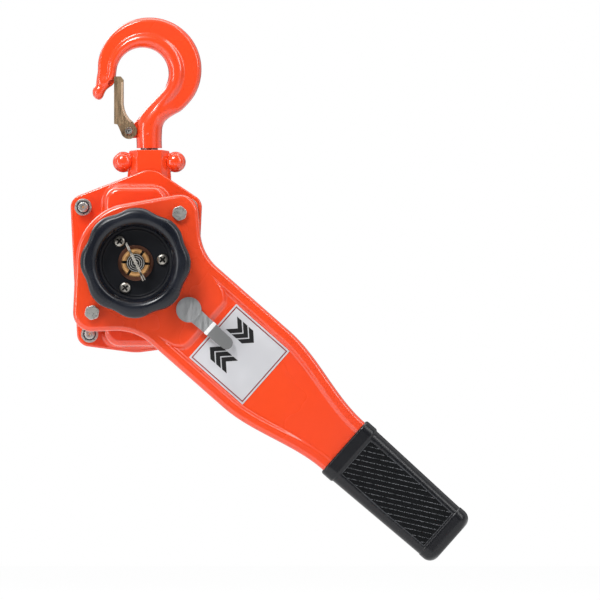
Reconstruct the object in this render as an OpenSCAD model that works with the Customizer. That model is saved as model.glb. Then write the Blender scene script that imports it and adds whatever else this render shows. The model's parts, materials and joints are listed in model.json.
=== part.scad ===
// Lever chain hoist: top hook, hook yoke, side plates with a pocketed load sheave, reduction gears at the back,
// screw brake with ratchet and pawls at the front, and a ratchet lever with a direction selector.
// Millimetres. X is to the right, Z is up and the handwheel looks towards -Y.
// The origin is the centre of the hook's bowl, where the hoist hangs. Body pieces are drawn about the drive axis.
// Outlines are drawn flat with X to the right and Z up, and are given their depth along Y.

/* [Layout] */
// Height of the bowl's centre above the drive axis
bowl_z = 164.8; // [150:0.1:185]
// Distance of the hook's shank from the drive axis, to the right
hook_axis_x = 11.3; // [4:0.1:16]
// Distance of the bowl's centre to the left of the shank
bowl_offset = 3.9; // [0:0.1:6]

/* [Chain] */
// Wire diameter of the load chain
chain_d = 7.1; // [6:0.1:8]
// Inner length of a link
chain_pitch = 21; // [19:0.1:23]
// Outer width of a link
chain_w = 23.4; // [20:0.1:25]
// Links that lie flat around the sheave
pockets = 4; // [4:1:5]

/* [Side plates] */
// Clear width between the plates
plate_gap = 34; // [33:0.5:38]
// Thickness of a plate
plate_t = 4; // [3:0.5:6]
// Upper stay bolts, distance from the middle
stay_top_x = 46.1; // [42:0.1:52]
// Upper stay bolts, height
stay_top_z = 48.7; // [44:0.1:56]
// Lower stay bolts, distance from the middle
stay_low_x = 40.5; // [37:0.1:46]
// Lower stay bolts, depth below the drive axis
stay_low_z = 61.8; // [58:0.1:68]
// Radius of the corners around the stay bolts
corner_r = 11; // [9:0.5:14]
// Radius of the plate around the suspension pin
apex_r = 20; // [17:0.5:24]
// Height of the suspension pin
pin_z = 61; // [56:0.5:68]
// Lowest point of the belly below the drive axis
belly_z = 77.9; // [74:0.1:84]
// Radius of the belly
belly_r = 45; // [40:1:52]
// Diameter of the suspension pin
pin_d = 14; // [11:0.5:17]
// Diameter of a stay bolt
stay_d = 9; // [7:0.5:10]
// Diameter of a spacer sleeve
sleeve_d = 13; // [12:0.5:15]

/* [Load sheave] */
// Diameter of the sheave's bearing journals
journal_d = 28; // [26:0.5:30]
// Radial thickness of a bearing ring
bearing_t = 3.5; // [2.5:0.5:5]
// Height of the sheave's rim above the chain's pitch circle
rim_rise = 4.5; // [3.5:0.5:5]
// Diameter of a guide roller
roller_d = 21; // [18:0.5:22]
// Height of the guide rollers below the drive axis
roller_drop = 8; // [2:0.5:14]
// Diameter of a guide roller's pin
roller_pin_d = 5; // [4:0.5:6]

/* [Gears] */
// Tooth module
gear_module = 1.5; // [1.4:0.05:1.55]
// Teeth of each pinion
pinion_teeth = 12; // [12:1:12]
// Teeth of each wheel
wheel_teeth = 26; // [26:2:26]
// Pressure angle
pressure_angle = 25; // [22:0.5:27]
// Thickness taken off each tooth for backlash
tooth_slack = 0.12; // [0.08:0.01:0.2]
// Width of the load gear
load_gear_w = 7; // [5:0.5:8]
// Width of the drive pinion
pinion_w = 9; // [7:0.5:10]
// Diameter of the pins that carry the gear clusters
gear_pin_d = 8; // [6:0.5:9]

/* [Covers] */
// Thickness of the covers' flanges
flange_t = 3.5; // [2.5:0.5:5]
// Sheet thickness of the covers' domes
sheet_t = 2.5; // [2:0.25:3]
// Depth of the brake cover
brake_depth = 25; // [25:0.5:28]
// Depth of the gear cover
gear_depth = 27; // [27:0.5:32]
// Radius of the round part of the domes
dome_r = 47; // [46:0.5:49]
// Half width of the domes' upright lobe
lobe_half_w = 28; // [26:0.5:32]
// Top of the upright lobe
lobe_top = 67; // [62:0.5:70]
// Bottom of the upright lobe, below the drive axis
lobe_low = 73; // [68:0.5:74]
// Radius of the lobe's corners
lobe_corner_r = 14; // [10:0.5:20]

/* [Brake] */
// Radius of the ratchet disc over its teeth
ratchet_r = 36; // [34:0.5:37]
// Depth of a ratchet tooth
ratchet_tooth = 4.5; // [3.5:0.25:5]
// Number of ratchet teeth
ratchet_teeth = 18; // [18:2:18]
// Thickness of the ratchet disc
ratchet_t = 5.5; // [5:0.25:6]
// Thickness of a friction disc
friction_t = 2.7; // [2.2:0.1:3]
// Thickness of the disc hub's flange
hub_flange_t = 5; // [4:0.5:6]
// Radius of the disc hub's bearing for the discs
hub_r = 19.95; // [18:0.05:22]
// Distance of the pawl pins from the drive axis
pawl_at = 47; // [46:0.5:48]
// Direction of the first pawl pin, degrees anticlockwise from the right
pawl_angle = 70; // [68:1:76]
// Diameter of a pawl pin
pawl_pin_d = 6; // [5:0.5:7]

/* [Drive] */
// Diameter of the drive shaft in the sheave
shaft_d = 19.9; // [18:0.1:21]
// Diameter of the shaft's brake thread
thread_d = 18; // [16:0.5:19]
// Diameter of the shaft's end thread
end_d = 16; // [14:0.5:16]
// Diameter of the change gear over its teeth
change_gear_d = 90; // [86:1:91]
// Number of teeth on the change gear
change_teeth = 20; // [20:1:20]
// Depth of a change gear tooth
change_tooth = 4.5; // [4:0.25:5]
// Width of the change gear's teeth
change_w = 8; // [7:0.5:9]
// Diameter of the change gear's nose, which carries the handwheel
nose_d = 56; // [54:0.5:60]

/* [Lever] */
// Direction of the lever at rest, degrees anticlockwise from the right
lever_angle = -41.4; // [-60:0.1:0]
// Length from the drive axis to the end of the grip
lever_len = 366; // [340:1:400]
// Radius of the round back of the head
head_r = 52.5; // [52:0.5:56]
// Distance of the head bolts from the drive axis
head_bolt_v = 57.5; // [57:0.5:62]
// Radius of the head's corners around the bolts
head_corner_r = 16.5; // [15:0.5:18]
// Half width of the arm
arm_half_w = 44; // [41:0.5:48]
// Half width of the arm's neck at the grip
neck_half_w = 27.5; // [25:0.5:29]
// Where the arm starts to narrow
narrow_from = 140; // [130:1:160]
// Where the grip starts
grip_from = 241; // [230:1:260]
// Depth of the lever, front face to back face
lever_depth = 20.5; // [19.5:0.5:24]
// Sheet thickness of the lever
lever_sheet = 2.5; // [2:0.25:3]
// Depth of the sunk panel on the arm
panel_sink = 3; // [1:0.25:3]
// Width of the raised edge beside the panel
edge_w = 8.5; // [7:0.5:11]
// Half width of the grip at its collar
collar_half_w = 30; // [29:0.5:32]
// Half width of the grip at its end
grip_end_half_w = 26.6; // [25:0.1:28]
// Thickness of the grip
grip_t = 26; // [24:1:30]
// Thickness of the steel tang in the grip
tang_t = 14; // [10:1:16]
// Half width of the tang
tang_half_w = 21; // [16:0.5:22]
// Side of the square label plate
label_side = 62; // [56:0.5:66]
// Distance of the label plate from the drive axis
label_from = 89; // [86:0.5:96]
// Across flats of the head bolts
bolt_af = 12; // [11:0.5:13]

/* [Selector] */
// Distance of the selector's shaft from the drive axis
selector_at = 61.5; // [61:0.5:66]
// Diameter of the selector's hub
selector_hub_d = 22; // [18:0.5:24]
// Length of the selector's arm from the shaft
selector_len = 49; // [44:0.5:54]
// Width of the selector's arm
selector_w = 11; // [9:0.5:13]
// Turn to either side that engages the change pawl
selector_swing = 36; // [36:1:36]

/* [Handwheel] */
// Radius over the lobes
wheel_r = 48; // [46:0.5:49]
// Number of lobes on the rim
wheel_lobes = 8; // [6:1:10]
// Height of the lobes
lobe_wave = 2.5; // [1.5:0.1:4]
// Depth of the handwheel
wheel_depth = 26.8; // [24:0.2:30]
// Radius of the cup's mouth
cup_mouth_r = 35.5; // [34:0.5:37]
// Radius of the cup's floor
cup_floor_r = 29; // [28:0.5:31]
// Depth of the cup
cup_depth = 19; // [16:0.5:21]
// Distance of the wheel's screws from the drive axis
screw_at = 23.5; // [21.5:0.5:24]
// Direction of the first screw
screw_angle = 7; // [0:1:60]
// Diameter of the end washer
washer_d = 31; // [28:0.5:34]
// Diameter of the castle nut
castle_d = 24.6; // [22:0.1:27]
// Direction of the cotter pin
cotter_angle = -64; // [-90:1:0]

/* [Hook] */
// Radius of the bowl
bowl_r = 22.8; // [21:0.1:25]
// Radius of the hook's outer edge
back_r = 44.5; // [42:0.1:47]
// Thickness of the hook at the crown
hook_t = 19; // [16:0.5:21]
// Diameter of the shank
shank_d = 22; // [19:0.5:24]
// Diameter of the swivel neck
neck_d = 15; // [13:0.5:17]
// Height of the shank's foot above the drive axis
shank_z = 101; // [101:0.5:104]
// Diameter of the hook's nut
hook_nut_d = 23; // [20:0.5:25]
// Height of the hook's nut
hook_nut_h = 11; // [9:0.5:12]
// Length of the latch above its pin
latch_len = 47.5; // [44:0.5:49]
// Width of the latch's cheeks
latch_w = 8.4; // [7:0.1:9]
// Sheet thickness of the latch
latch_sheet = 1.5; // [1.2:0.1:2]
// Inner width of the latch
latch_gap = 11.2; // [11:0.1:13]
// Diameter of the latch's pin
latch_pin_d = 4.4; // [3.6:0.1:5]

/* [Yoke] */
// Height of the yoke's top above the drive axis
yoke_top = 98.7; // [98:0.1:100]
// Distance of the rivets from the hook's axis
rivet_x = 22.8; // [22:0.1:27]
// Height of the rivets above the drive axis
rivet_z = 88.1; // [86:0.1:91]
// Radius of the lobes around the rivets
rivet_lobe_r = 9; // [7:0.1:10]
// Depth of the yoke's block, front to back
yoke_t = 33; // [30:0.5:33]
// Depth of the yoke's lobes, front to back
yoke_lobe_t = 22; // [18:0.5:24]
// Diameter of the rivets
rivet_d = 7; // [6:0.5:8]

/* [Fits] */
// Radial clearance of a running fit
run_fit = 0.05; // [0.03:0.01:0.08]
// Gap between faces that pass each other
side_gap = 0.3; // [0.2:0.05:0.5]

/* [Hidden] */
$fn = 72;

// Colours
paint = "orangered";
zinc = "silver";
steel = "slategray";
black = "#1d222b";
bronze = "peru";

// A cut reaches this far past the face that it opens
past = 1;

// Layout from the bowl's centre
drive_x = bowl_offset - hook_axis_x;
drive_z = -bowl_z;
hook_pin = [hook_axis_x, pin_z];
apex_at = [hook_axis_x, pin_z];

// Faces from the middle plane outwards
plate_in = plate_gap / 2;
plate_out = plate_in + plate_t;
flange_out = plate_out + flange_t;
brake_face = plate_out + brake_depth;
gear_face = plate_out + gear_depth;

// Stay bolts, studs and their nuts
nut_af = 13;
nut_collar_h = 1.4;
nut_to = flange_out + 7;
bolt_end_h = 1.6;
stud_head_h = 1.5;

// Load sheave: two links subtend each pocket's share of the circle
half_share = 90 / pockets;
pitch_r = sqrt(pow(chain_pitch / sin(half_share), 2) + pow(chain_d / cos(half_share), 2)) / 2;
flat_link_at = sqrt(pow(pitch_r, 2) - pow(chain_pitch / 2, 2));
chain_room = 1;
groove_r = pitch_r - chain_w / 2 - chain_room;
groove_w = chain_d + 2 * chain_room;
rim_r = pitch_r + rim_rise;
pocket_w = chain_w + chain_room;
pocket_len = chain_pitch + 2 * chain_d + chain_room;
sheave_w = plate_gap - 3;
stripper_at = rim_r + 13;
stripper_tenon_r = 4;
journal_r = journal_d / 2;
shaft_r = shaft_d / 2;
bore_r = shaft_r + run_fit;

// Guide rollers
roller_r = roller_d / 2;
roller_x = pitch_r + chain_d / 2 + chain_room + roller_r;
roller_w = plate_gap - 2 * side_gap;

// Gears: the pinion and wheel of each stage share one centre distance
gear_centre = gear_module * (pinion_teeth + wheel_teeth) / 2;
load_gear_from = plate_out + 1.8;
load_gear_to = load_gear_from + load_gear_w;
pinion_from = load_gear_to + 3.2;
pinion_to = pinion_from + pinion_w;
gear_floor = gear_face - sheet_t;
gear_pin_r = gear_pin_d / 2;
cluster_from = plate_out + 1.2;
cluster_to = pinion_to - 0.5;
rear_journal_r = 6;
bush_r = 9;
bush_h = 3.2;

// Brake stack, distances towards the handwheel from the middle plane
hub_back = plate_out + 1.5;
hub_front = hub_back + hub_flange_t;
friction_in_to = hub_front + friction_t;
ratchet_from = friction_in_to + side_gap;
ratchet_to = ratchet_from + ratchet_t;
friction_out_from = ratchet_to + side_gap;
friction_out_to = friction_out_from + friction_t;
press_face = friction_out_to + side_gap;
friction_r = ratchet_r - ratchet_tooth - 0.5;
thread_r = thread_d / 2;
end_r = end_d / 2;

// Pawls: each stands in front of a tooth's face, which lies anticlockwise of the pawl's pin
face_lead = 30;
tooth_face = pawl_angle + face_lead;
pawl_tip_r = 1.3;
pawl_hub_r = 6.5;
pawl_tip_at = ratchet_r - ratchet_tooth / 2 + 0.6;
// A lifting tip swings towards the tooth's face, so it rests this far in front
pawl_lead = 1.5;
pawl_tip_turn = face_lead - asin((pawl_tip_r + pawl_lead) / pawl_tip_at);

// Lever stack
neck_in = friction_r;
neck_out = neck_in + 3.5;
lever_back = brake_face + 5.5;
lever_front = lever_back + lever_depth;
lever_mid = (lever_back + lever_front) / 2;
ring_from = lever_back + lever_sheet + side_gap;
ring_to = ring_from + 1.5;
neck_to = ring_to + 1.2;
change_from = neck_to + 1;
change_to = change_from + change_w;
nose_r = nose_d / 2;
nose_to = lever_front + 4;
floor_to = nose_to + 5;
washer_from = floor_to + side_gap;
washer_to = washer_from + 1.7;
castle_h = 9;
castle_to = washer_to + castle_h;
cotter_at = castle_to - 2.6;
wheel_back = lever_front + 1.2;
wheel_front = wheel_back + wheel_depth;
screw_r = 2.5;
screw_head_r = 5;
cotter_wire_r = 1.15;
legs_to = 19.4;
eye_at = 15.4;
eye_r = 1.9;
leg_gap = 0.3;
screw_head_h = 3;
screw_dome_r = 9;
cross_l = 5;
cross_w = 1.1;
cross_deep = 1.4;

// Lever outline
head_lean = asin((head_r - head_corner_r) / head_bolt_v);
shoulder_normal = 46.3;
shoulder_r = 45;
taper_len = grip_from - 1 - narrow_from;
arm_end = lever_len - 18;
panel_to = grip_from - 9;
bolt_r = 3.5;
post_r = 7;
lever_nut_h = 4;

// Change pawl: where a horn sits in a tooth gap, seen from the selector's shaft
selector_shaft_r = 6;
spigot_r = 4;
spigot_seat = lever_back + lever_sheet + 2;
pawl_disc_r = 12;
horn_r = 1.1;
horn_root_r = 3;
horn_bite = change_gear_d / 2 - change_tooth + 2;
gap_angle = 360 / change_teeth;
horn_seat = [selector_at - horn_bite * cos(gap_angle), horn_bite * sin(gap_angle)];
horn_reach = norm(horn_seat);
horn_turn = atan2(horn_seat[1], horn_seat[0]) + selector_swing;

// Detent behind the change pawl
plunger_r = 3;
plunger_from = selector_at + pawl_disc_r + side_gap;
plunger_len = 12;
spring_len = 14;

// Hook outline, about the bowl's centre
neck_x = bowl_offset;
foot_z = shank_z - bowl_z;
latch_pivot = [-13.9, -49.6];
back_centre = [5.3, 3.1];
shank_r = shank_d / 2;
hook_half_t = hook_t / 2;
throat_from = -38;
latch_left = -12.9;
latch_pin_r = latch_pin_d / 2;
ear_t = 5.2;

// Yoke: the hook's nut turns in a closed cave
cave_top = yoke_top - 7;
cave_room = 4;
yoke_eye_r = pin_d / 2 + 7;
rivet_head_r = 5.5;
lobe_round = 3;
yoke_face_w = 21;
yoke_foot_w = 38;
block_half = hook_nut_d / 2 + 6;

// ---------- Helpers ----------

module about_drive() {
    translate([drive_x, 0, drive_z]) children();
}

// A flat outline given depth between two distances towards the handwheel
module front_slab(from, to) {
    translate([0, -from, 0]) rotate([90, 0, 0]) linear_extrude(to - from) children();
}

module back_slab(from, to) {
    front_slab(-to, -from) children();
}

// A round bar along Y between two distances towards the handwheel
module front_bar(r, from, to, at = [0, 0]) {
    translate([at[0], -from, at[1]]) rotate([90, 0, 0]) cylinder(r = r, h = to - from);
}

module back_bar(r, from, to, at = [0, 0]) {
    front_bar(r, -to, -from, at);
}

// A profile of radius and distance towards the handwheel, turned about an axis along Y
module turned(at = [0, 0]) {
    translate([at[0], 0, at[1]]) rotate([90, 0, 0]) rotate_extrude() children();
}

// A hexagon across flats, with its corners turned off
module hex_head(af, from, to, at = [0, 0]) {
    intersection() {
        front_slab(from, to) translate(at) circle(d = af / cos(30), $fn = 6);
        front_bar(af / 2 * 1.08, from, to, at);
    }
}

module at_stays() {
    for (s = [-1, 1]) {
        translate([s * stay_top_x, 0, stay_top_z]) children();
    }
}

module at_studs() {
    for (s = [-1, 1]) {
        translate([s * stay_low_x, 0, -stay_low_z]) children();
    }
}

module at_stay_bolts() {
    at_stays() children();
    at_studs() children();
}

function arc(centre, r, from, to, steps) = [
    for (i = [0:steps]) let (a = from + (to - from) * i / steps) centre + r * [cos(a), sin(a)]
];

function mirrored(points) = [for (i = [len(points) - 1:-1:0]) [points[i][0], -points[i][1]]];

function smooth(t) = let (c = min(1, max(0, t))) c * c * (3 - 2 * c);

function blend(a, b, t) = a + (b - a) * t;

// Point on a cubic curve through four handles
function cubic(p, t) =
    pow(1 - t, 3) * p[0] + 3 * t * pow(1 - t, 2) * p[1] + 3 * t * t * (1 - t) * p[2] + pow(t, 3) * p[3];

// Faces that join rings of n points, each ring after the last, with closed ends
function skin(rings, n) = concat(
    [[for (j = [0:n - 1]) j]],
    [for (i = [0:rings - 2], j = [0:n - 1]) each [
        [(i + 1) * n + (j + 1) % n, i * n + (j + 1) % n, i * n + j],
        [(i + 1) * n + j, (i + 1) * n + (j + 1) % n, i * n + j]
    ]],
    [[for (j = [n - 1:-1:0]) (rings - 1) * n + j]]
);

// A round wire along a path, with a ring of n points square to it at each point
module wire(path, r, n = 6) {
    last = len(path) - 1;
    points = [
        for (i = [0:last])
            let (
                run = path[min(i + 1, last)] - path[max(i - 1, 0)],
                along = run / norm(run),
                side = cross(along, [0, 1, 0.02]),
                u = side / norm(side),
                v = cross(along, u)
            )
            for (j = [0:n - 1]) path[i] + r * (cos(360 * j / n) * u + sin(360 * j / n) * v)
    ];
    polyhedron(points, skin(last + 1, n), convexity = 8);
}

// ---------- Side plates and covers ----------

module body_outline(inset = 0) {
    hull() {
        for (s = [-1, 1]) {
            translate([s * stay_top_x, stay_top_z]) circle(r = corner_r - inset);
            translate([s * stay_low_x, -stay_low_z]) circle(r = corner_r - inset);
        }
        translate(apex_at) circle(r = apex_r - inset);
        translate([0, belly_r - belly_z]) circle(r = belly_r - inset);
    }
}

module dome_outline(inset = 0) {
    circle(r = dome_r - inset);
    hull() {
        for (s = [-1, 1], z = [lobe_top - lobe_corner_r, lobe_corner_r - lobe_low]) {
            translate([s * (lobe_half_w - lobe_corner_r), z]) circle(r = lobe_corner_r - inset);
        }
    }
}

// Holes that both plates share
module plate_holes() {
    at_stay_bolts() front_bar(stay_d / 2, -gear_face, gear_face);
    front_bar(pin_d / 2, -100, 100, hook_pin);
    front_bar(journal_r + bearing_t, -100, 100);
    for (s = [-1, 1]) {
        front_bar(roller_pin_d / 2, -100, 100, [s * roller_x, -roller_drop]);
    }
    front_bar(stripper_tenon_r, -100, 100, [0, -stripper_at]);
}

module side_plate_front() {
    color(paint) about_drive() difference() {
        front_slab(plate_in, plate_out) body_outline();
        plate_holes();
        for (s = [0, 180]) {
            front_bar(pawl_pin_d / 2, plate_in - past, plate_out + past, pawl_pin_at(s));
        }
    }
}

module side_plate_rear() {
    color(paint) about_drive() difference() {
        back_slab(plate_in, plate_out) body_outline();
        plate_holes();
        for (s = [-1, 1]) {
            back_bar(gear_pin_r, plate_in - past, plate_out + past, [0, s * gear_centre]);
        }
    }
}

// A pressed cover towards the handwheel: a flange with a stepped edge and a dome with a stepped crown
module cover_shell(depth) {
    edge = 1.2;
    face = plate_out + depth;
    difference() {
        union() {
            front_slab(plate_out, flange_out - edge) body_outline();
            front_slab(flange_out - edge, flange_out) body_outline(edge);
            front_slab(flange_out - past, face - 2 * edge) dome_outline();
            front_slab(face - 2 * edge - past, face - edge) dome_outline(0.6 * edge);
            front_slab(face - edge - past, face) dome_outline(1.8 * edge);
        }
        front_slab(plate_out - past, face - sheet_t - edge) dome_outline(sheet_t);
        front_slab(plate_out, face - sheet_t) dome_outline(sheet_t + edge);
        at_stay_bolts() front_bar(stay_d / 2, -gear_face, gear_face);
    }
}

module brake_cover() {
    shoulder_r_out = neck_out + 4;
    color(paint) about_drive() difference() {
        union() {
            cover_shell(brake_depth);
            front_bar(shoulder_r_out, brake_face - 2 * past, lever_back - side_gap);
            front_bar(neck_out, brake_face - 2 * past, neck_to);
        }
        front_bar(neck_in + 0.5, brake_face - 2 * sheet_t, neck_to + past);
        turned() translate([neck_out - 1.5, ring_from]) square([5, ring_to - ring_from]);
        front_bar(pin_d / 2 + 3, plate_out - past, flange_out - 0.5, hook_pin);
    }
}

module gear_cover() {
    color(paint) about_drive() {
        mirror([0, 1, 0]) difference() {
            cover_shell(gear_depth);
            front_bar(pin_d / 2 + 3, plate_out - past, flange_out - 0.5, hook_pin);
        }
        difference() {
            back_bar(bush_r + 3, gear_floor - bush_h, gear_floor + past);
            back_bar(bush_r, gear_floor - bush_h - past, gear_floor);
        }
        for (s = [-1, 1]) {
            difference() {
                back_bar(gear_pin_r + 3, cluster_to + side_gap, gear_floor + past, [0, s * gear_centre]);
                back_bar(gear_pin_r, cluster_to, gear_floor, [0, s * gear_centre]);
            }
        }
    }
}

// A bolt's end with its corner turned off, towards the handwheel
module bolt_end(from) {
    front_bar(stay_d / 2, from, nut_to + bolt_end_h);
    front_bar(stay_d / 2 - bolt_end_h / 2, from, nut_to + 1.5 * bolt_end_h);
}

module stay_bolts() {
    color(zinc) about_drive() at_stays() {
        bolt_end(0);
        mirror([0, 1, 0]) bolt_end(0);
    }
}

module stay_sleeves() {
    color(steel) about_drive() at_stays() ring_plate(sleeve_d / 2, stay_d / 2, -plate_in, plate_in);
}

// The lower nuts have studs with flat heads, because the chain hangs between the plates there
module cover_studs() {
    color(zinc) about_drive() at_studs() for (side = [0, 1]) {
        mirror([0, side, 0]) {
            bolt_end(plate_in - stud_head_h);
            front_bar(sleeve_d / 2, plate_in - stud_head_h, plate_in);
        }
    }
}

module cover_nut() {
    difference() {
        union() {
            front_bar(nut_af / 2 + 1, flange_out, flange_out + nut_collar_h);
            hex_head(nut_af, flange_out, nut_to);
        }
        front_bar(stay_d / 2, flange_out - past, nut_to + past);
    }
}

module cover_nuts_front() {
    color(zinc) about_drive() at_stay_bolts() cover_nut();
}

module cover_nuts_rear() {
    color(zinc) about_drive() at_stay_bolts() mirror([0, 1, 0]) cover_nut();
}

module suspension_pin() {
    head_t = flange_out - plate_out - 1;
    color(steel) about_drive() {
        front_bar(pin_d / 2, -plate_out, plate_out + head_t, hook_pin);
        front_bar(pin_d / 2 + 2.6, plate_out, plate_out + head_t, hook_pin);
    }
}

// ---------- Load sheave, rollers and stripper ----------

module sheave_bearings() {
    color(zinc) about_drive() for (from = [plate_in, -plate_out]) {
        difference() {
            front_bar(journal_r + bearing_t, from, from + plate_t);
            front_bar(journal_r + run_fit, from - past, from + plate_t + past);
        }
    }
}

// Room for a link that lies flat in its pocket
module link_pocket() {
    end = (pocket_len - pocket_w) / 2;
    floor_at = flat_link_at - chain_d / 2 - 0.2;
    for (s = [-1, 1]) {
        translate([s * end, 0, floor_at]) cylinder(d = pocket_w, h = rim_r);
    }
    translate([-end, -pocket_w / 2, floor_at]) cube([2 * end, pocket_w, rim_r]);
}

module load_sheave() {
    half_w = sheave_w / 2;
    color(steel) about_drive() difference() {
        union() {
            turned() polygon([
                [bore_r, -half_w], [rim_r - 2, -half_w], [rim_r, 2 - half_w],
                [rim_r, -groove_w / 2], [groove_r, -groove_w / 2], [groove_r, groove_w / 2],
                [rim_r, groove_w / 2], [rim_r, half_w - 2], [rim_r - 2, half_w], [bore_r, half_w]
            ]);
            front_bar(journal_r, half_w - past, plate_out + 0.4);
            back_bar(journal_r, half_w - past, plate_out + 0.4);
            back_bar(journal_r - 2, plate_out, load_gear_to + 0.6);
        }
        front_bar(bore_r, -load_gear_to - 2, plate_out + 2);
        for (i = [0:pockets - 1]) {
            rotate([0, i * 360 / pockets, 0]) link_pocket();
        }
    }
}

module guide_roller(side) {
    at = [side * roller_x, -roller_drop];
    bore = roller_pin_d / 2 + run_fit;
    neck = roller_x - pitch_r - chain_w / 2 - 0.2;
    half = roller_w / 2;
    color(zinc) about_drive() turned(at) polygon([
        [bore, -half], [roller_r - 1, -half], [roller_r, 1 - half], [roller_r, -groove_w / 2],
        [neck, -groove_w / 2], [neck, groove_w / 2],
        [roller_r, groove_w / 2], [roller_r, half - 1], [roller_r - 1, half], [bore, half]
    ]);
}

module guide_roller_a() {
    guide_roller(-1);
}

module guide_roller_b() {
    guide_roller(1);
}

module roller_pins() {
    color(steel) about_drive() for (s = [-1, 1]) {
        front_bar(roller_pin_d / 2, -plate_out, plate_out, [s * roller_x, -roller_drop]);
    }
}

// A tongue in the sheave's groove lifts the links out of their pockets
module chain_stripper() {
    tongue = groove_w / 2 - chain_room;
    tongue_top = groove_r + 1;
    foot_half = stripper_tenon_r + 5;
    top_half = stripper_tenon_r + 2;
    color(steel) about_drive() {
        front_bar(stripper_tenon_r, -plate_out, plate_out, [0, -stripper_at]);
        front_bar(stripper_tenon_r + 2.5, -plate_in, plate_in, [0, -stripper_at]);
        front_slab(-tongue, tongue) difference() {
            polygon([
                [-foot_half, 1 - stripper_at - top_half], [foot_half, 1 - stripper_at - top_half],
                [top_half, -tongue_top], [-top_half, -tongue_top]
            ]);
            circle(r = tongue_top);
        }
    }
}

// ---------- Gears ----------

// Involute tooth: half its angle at radius r, for a gear of n teeth
function roll_angle(base, r) = let (c = acos(min(1, base / r))) tan(c) * 180 / PI - c;

function half_tooth(n, r) =
    let (
        pitch = gear_module * n / 2,
        base = pitch * cos(pressure_angle),
        slack = tooth_slack / 2 / pitch * 180 / PI
    )
    90 / n - slack + roll_angle(base, pitch) - roll_angle(base, max(r, base));

// Outline of a spur gear with one tooth pointing along the angle given
module gear_outline(n, pointing) {
    pitch = gear_module * n / 2;
    tip = pitch + gear_module;
    root = pitch - 1.25 * gear_module;
    base = pitch * cos(pressure_angle);
    low = max(root, base);
    steps = 4;
    flank = [for (i = [0:steps]) let (r = blend(low, tip, i / steps)) [r, half_tooth(n, r)]];
    tooth = concat(
        [[root, half_tooth(n, low)]],
        flank,
        [for (i = [steps:-1:0]) [flank[i][0], -flank[i][1]]],
        [[root, -half_tooth(n, low)]]
    );
    polygon([
        for (k = [0:n - 1], p = tooth)
            let (a = pointing - 360 * k / n + p[1]) p[0] * [cos(a), sin(a)]
    ]);
}

module load_gear() {
    color(steel) about_drive() difference() {
        back_slab(load_gear_from, load_gear_to) gear_outline(wheel_teeth, 90 + 180 / wheel_teeth);
        back_bar(journal_r - 2, load_gear_from - past, load_gear_to + past);
    }
}

// A pinion on the load gear and a wheel on the drive pinion, made as one piece
module gear_cluster(side) {
    inward = -90 * side;
    at = [0, side * gear_centre];
    color(steel) about_drive() difference() {
        union() {
            back_slab(cluster_from, load_gear_to + 0.4) translate(at) gear_outline(pinion_teeth, inward);
            back_bar(gear_module * (pinion_teeth / 2 - 1.25), load_gear_to, pinion_from + 1, at);
            back_slab(pinion_from + 0.5, cluster_to) translate(at)
                gear_outline(wheel_teeth, inward + 180 / wheel_teeth);
        }
        back_bar(gear_pin_r + run_fit, cluster_from - past, cluster_to + past, at);
    }
}

module gear_cluster_a() {
    gear_cluster(1);
}

module gear_cluster_b() {
    gear_cluster(-1);
}

module gear_pins() {
    color(steel) about_drive() for (s = [-1, 1]) {
        back_bar(gear_pin_r, plate_in, gear_floor, [0, s * gear_centre]);
    }
}

module shaft_bush() {
    color(bronze) about_drive() difference() {
        back_bar(bush_r, gear_floor - bush_h, gear_floor);
        back_bar(rear_journal_r + run_fit, gear_floor - bush_h - past, gear_floor + past);
    }
}

module drive_shaft() {
    root = gear_module * (pinion_teeth / 2 - 1.25);
    color(steel) about_drive() difference() {
        union() {
            front_bar(end_r, washer_from - past, cotter_at + 0.3);
            front_bar(thread_r, hub_back, washer_from);
            back_bar(shaft_r, -hub_back, load_gear_to + 0.6);
            back_bar(root - 0.1, load_gear_to, pinion_from + past);
            back_slab(pinion_from, pinion_to) gear_outline(pinion_teeth, 90);
            back_bar(rear_journal_r, pinion_to - past, gear_floor - side_gap);
        }
        cotter_line(cotter_wire_r * 2 + 0.1, -end_r - past, end_r + past);
    }
}

// ---------- Brake ----------

module ring_plate(outer, inner, from, to) {
    difference() {
        front_bar(outer, from, to);
        front_bar(inner, from - past, to + past);
    }
}

module disc_hub() {
    color(steel) about_drive() difference() {
        union() {
            front_bar(friction_r - 1, hub_back, hub_front);
            front_bar(hub_r, hub_front - past, friction_out_to);
        }
        front_bar(thread_r, hub_back - past, friction_out_to + past);
    }
}

module friction_disc_inner() {
    color("saddlebrown") about_drive() ring_plate(friction_r, hub_r, hub_front, friction_in_to);
}

module friction_disc_outer() {
    color("saddlebrown") about_drive() ring_plate(friction_r, hub_r, friction_out_from, friction_out_to);
}

// Saw teeth: each rises at a radial face that stops the disc from running clockwise
module ratchet_disc() {
    step = 360 / ratchet_teeth;
    color(steel) about_drive() difference() {
        front_slab(ratchet_from, ratchet_to) rotate(tooth_face) polygon([
            for (k = [0:ratchet_teeth - 1], i = [0:3])
                let (r = ratchet_r - ratchet_tooth * i / 3, a = step * (k + i / 3))
                r * [cos(a), sin(a)]
        ]);
        front_bar(hub_r + run_fit, ratchet_from - past, ratchet_to + past);
    }
}

function pawl_pin_at(turn) = pawl_at * [cos(pawl_angle + turn), sin(pawl_angle + turn)];

// The pawl lies over one tooth and rests in front of the next tooth's face
module pawl_outline() {
    elbow = 0.55 * face_lead;
    elbow_at = ratchet_r + 5.6;
    hull() {
        translate([pawl_at, 0]) circle(r = pawl_hub_r);
        rotate(elbow) translate([elbow_at, 0]) circle(r = 3.6);
    }
    hull() {
        rotate(elbow) translate([elbow_at, 0]) circle(r = 3.6);
        rotate(pawl_tip_turn) translate([pawl_tip_at, 0]) circle(r = pawl_tip_r);
    }
}

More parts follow.
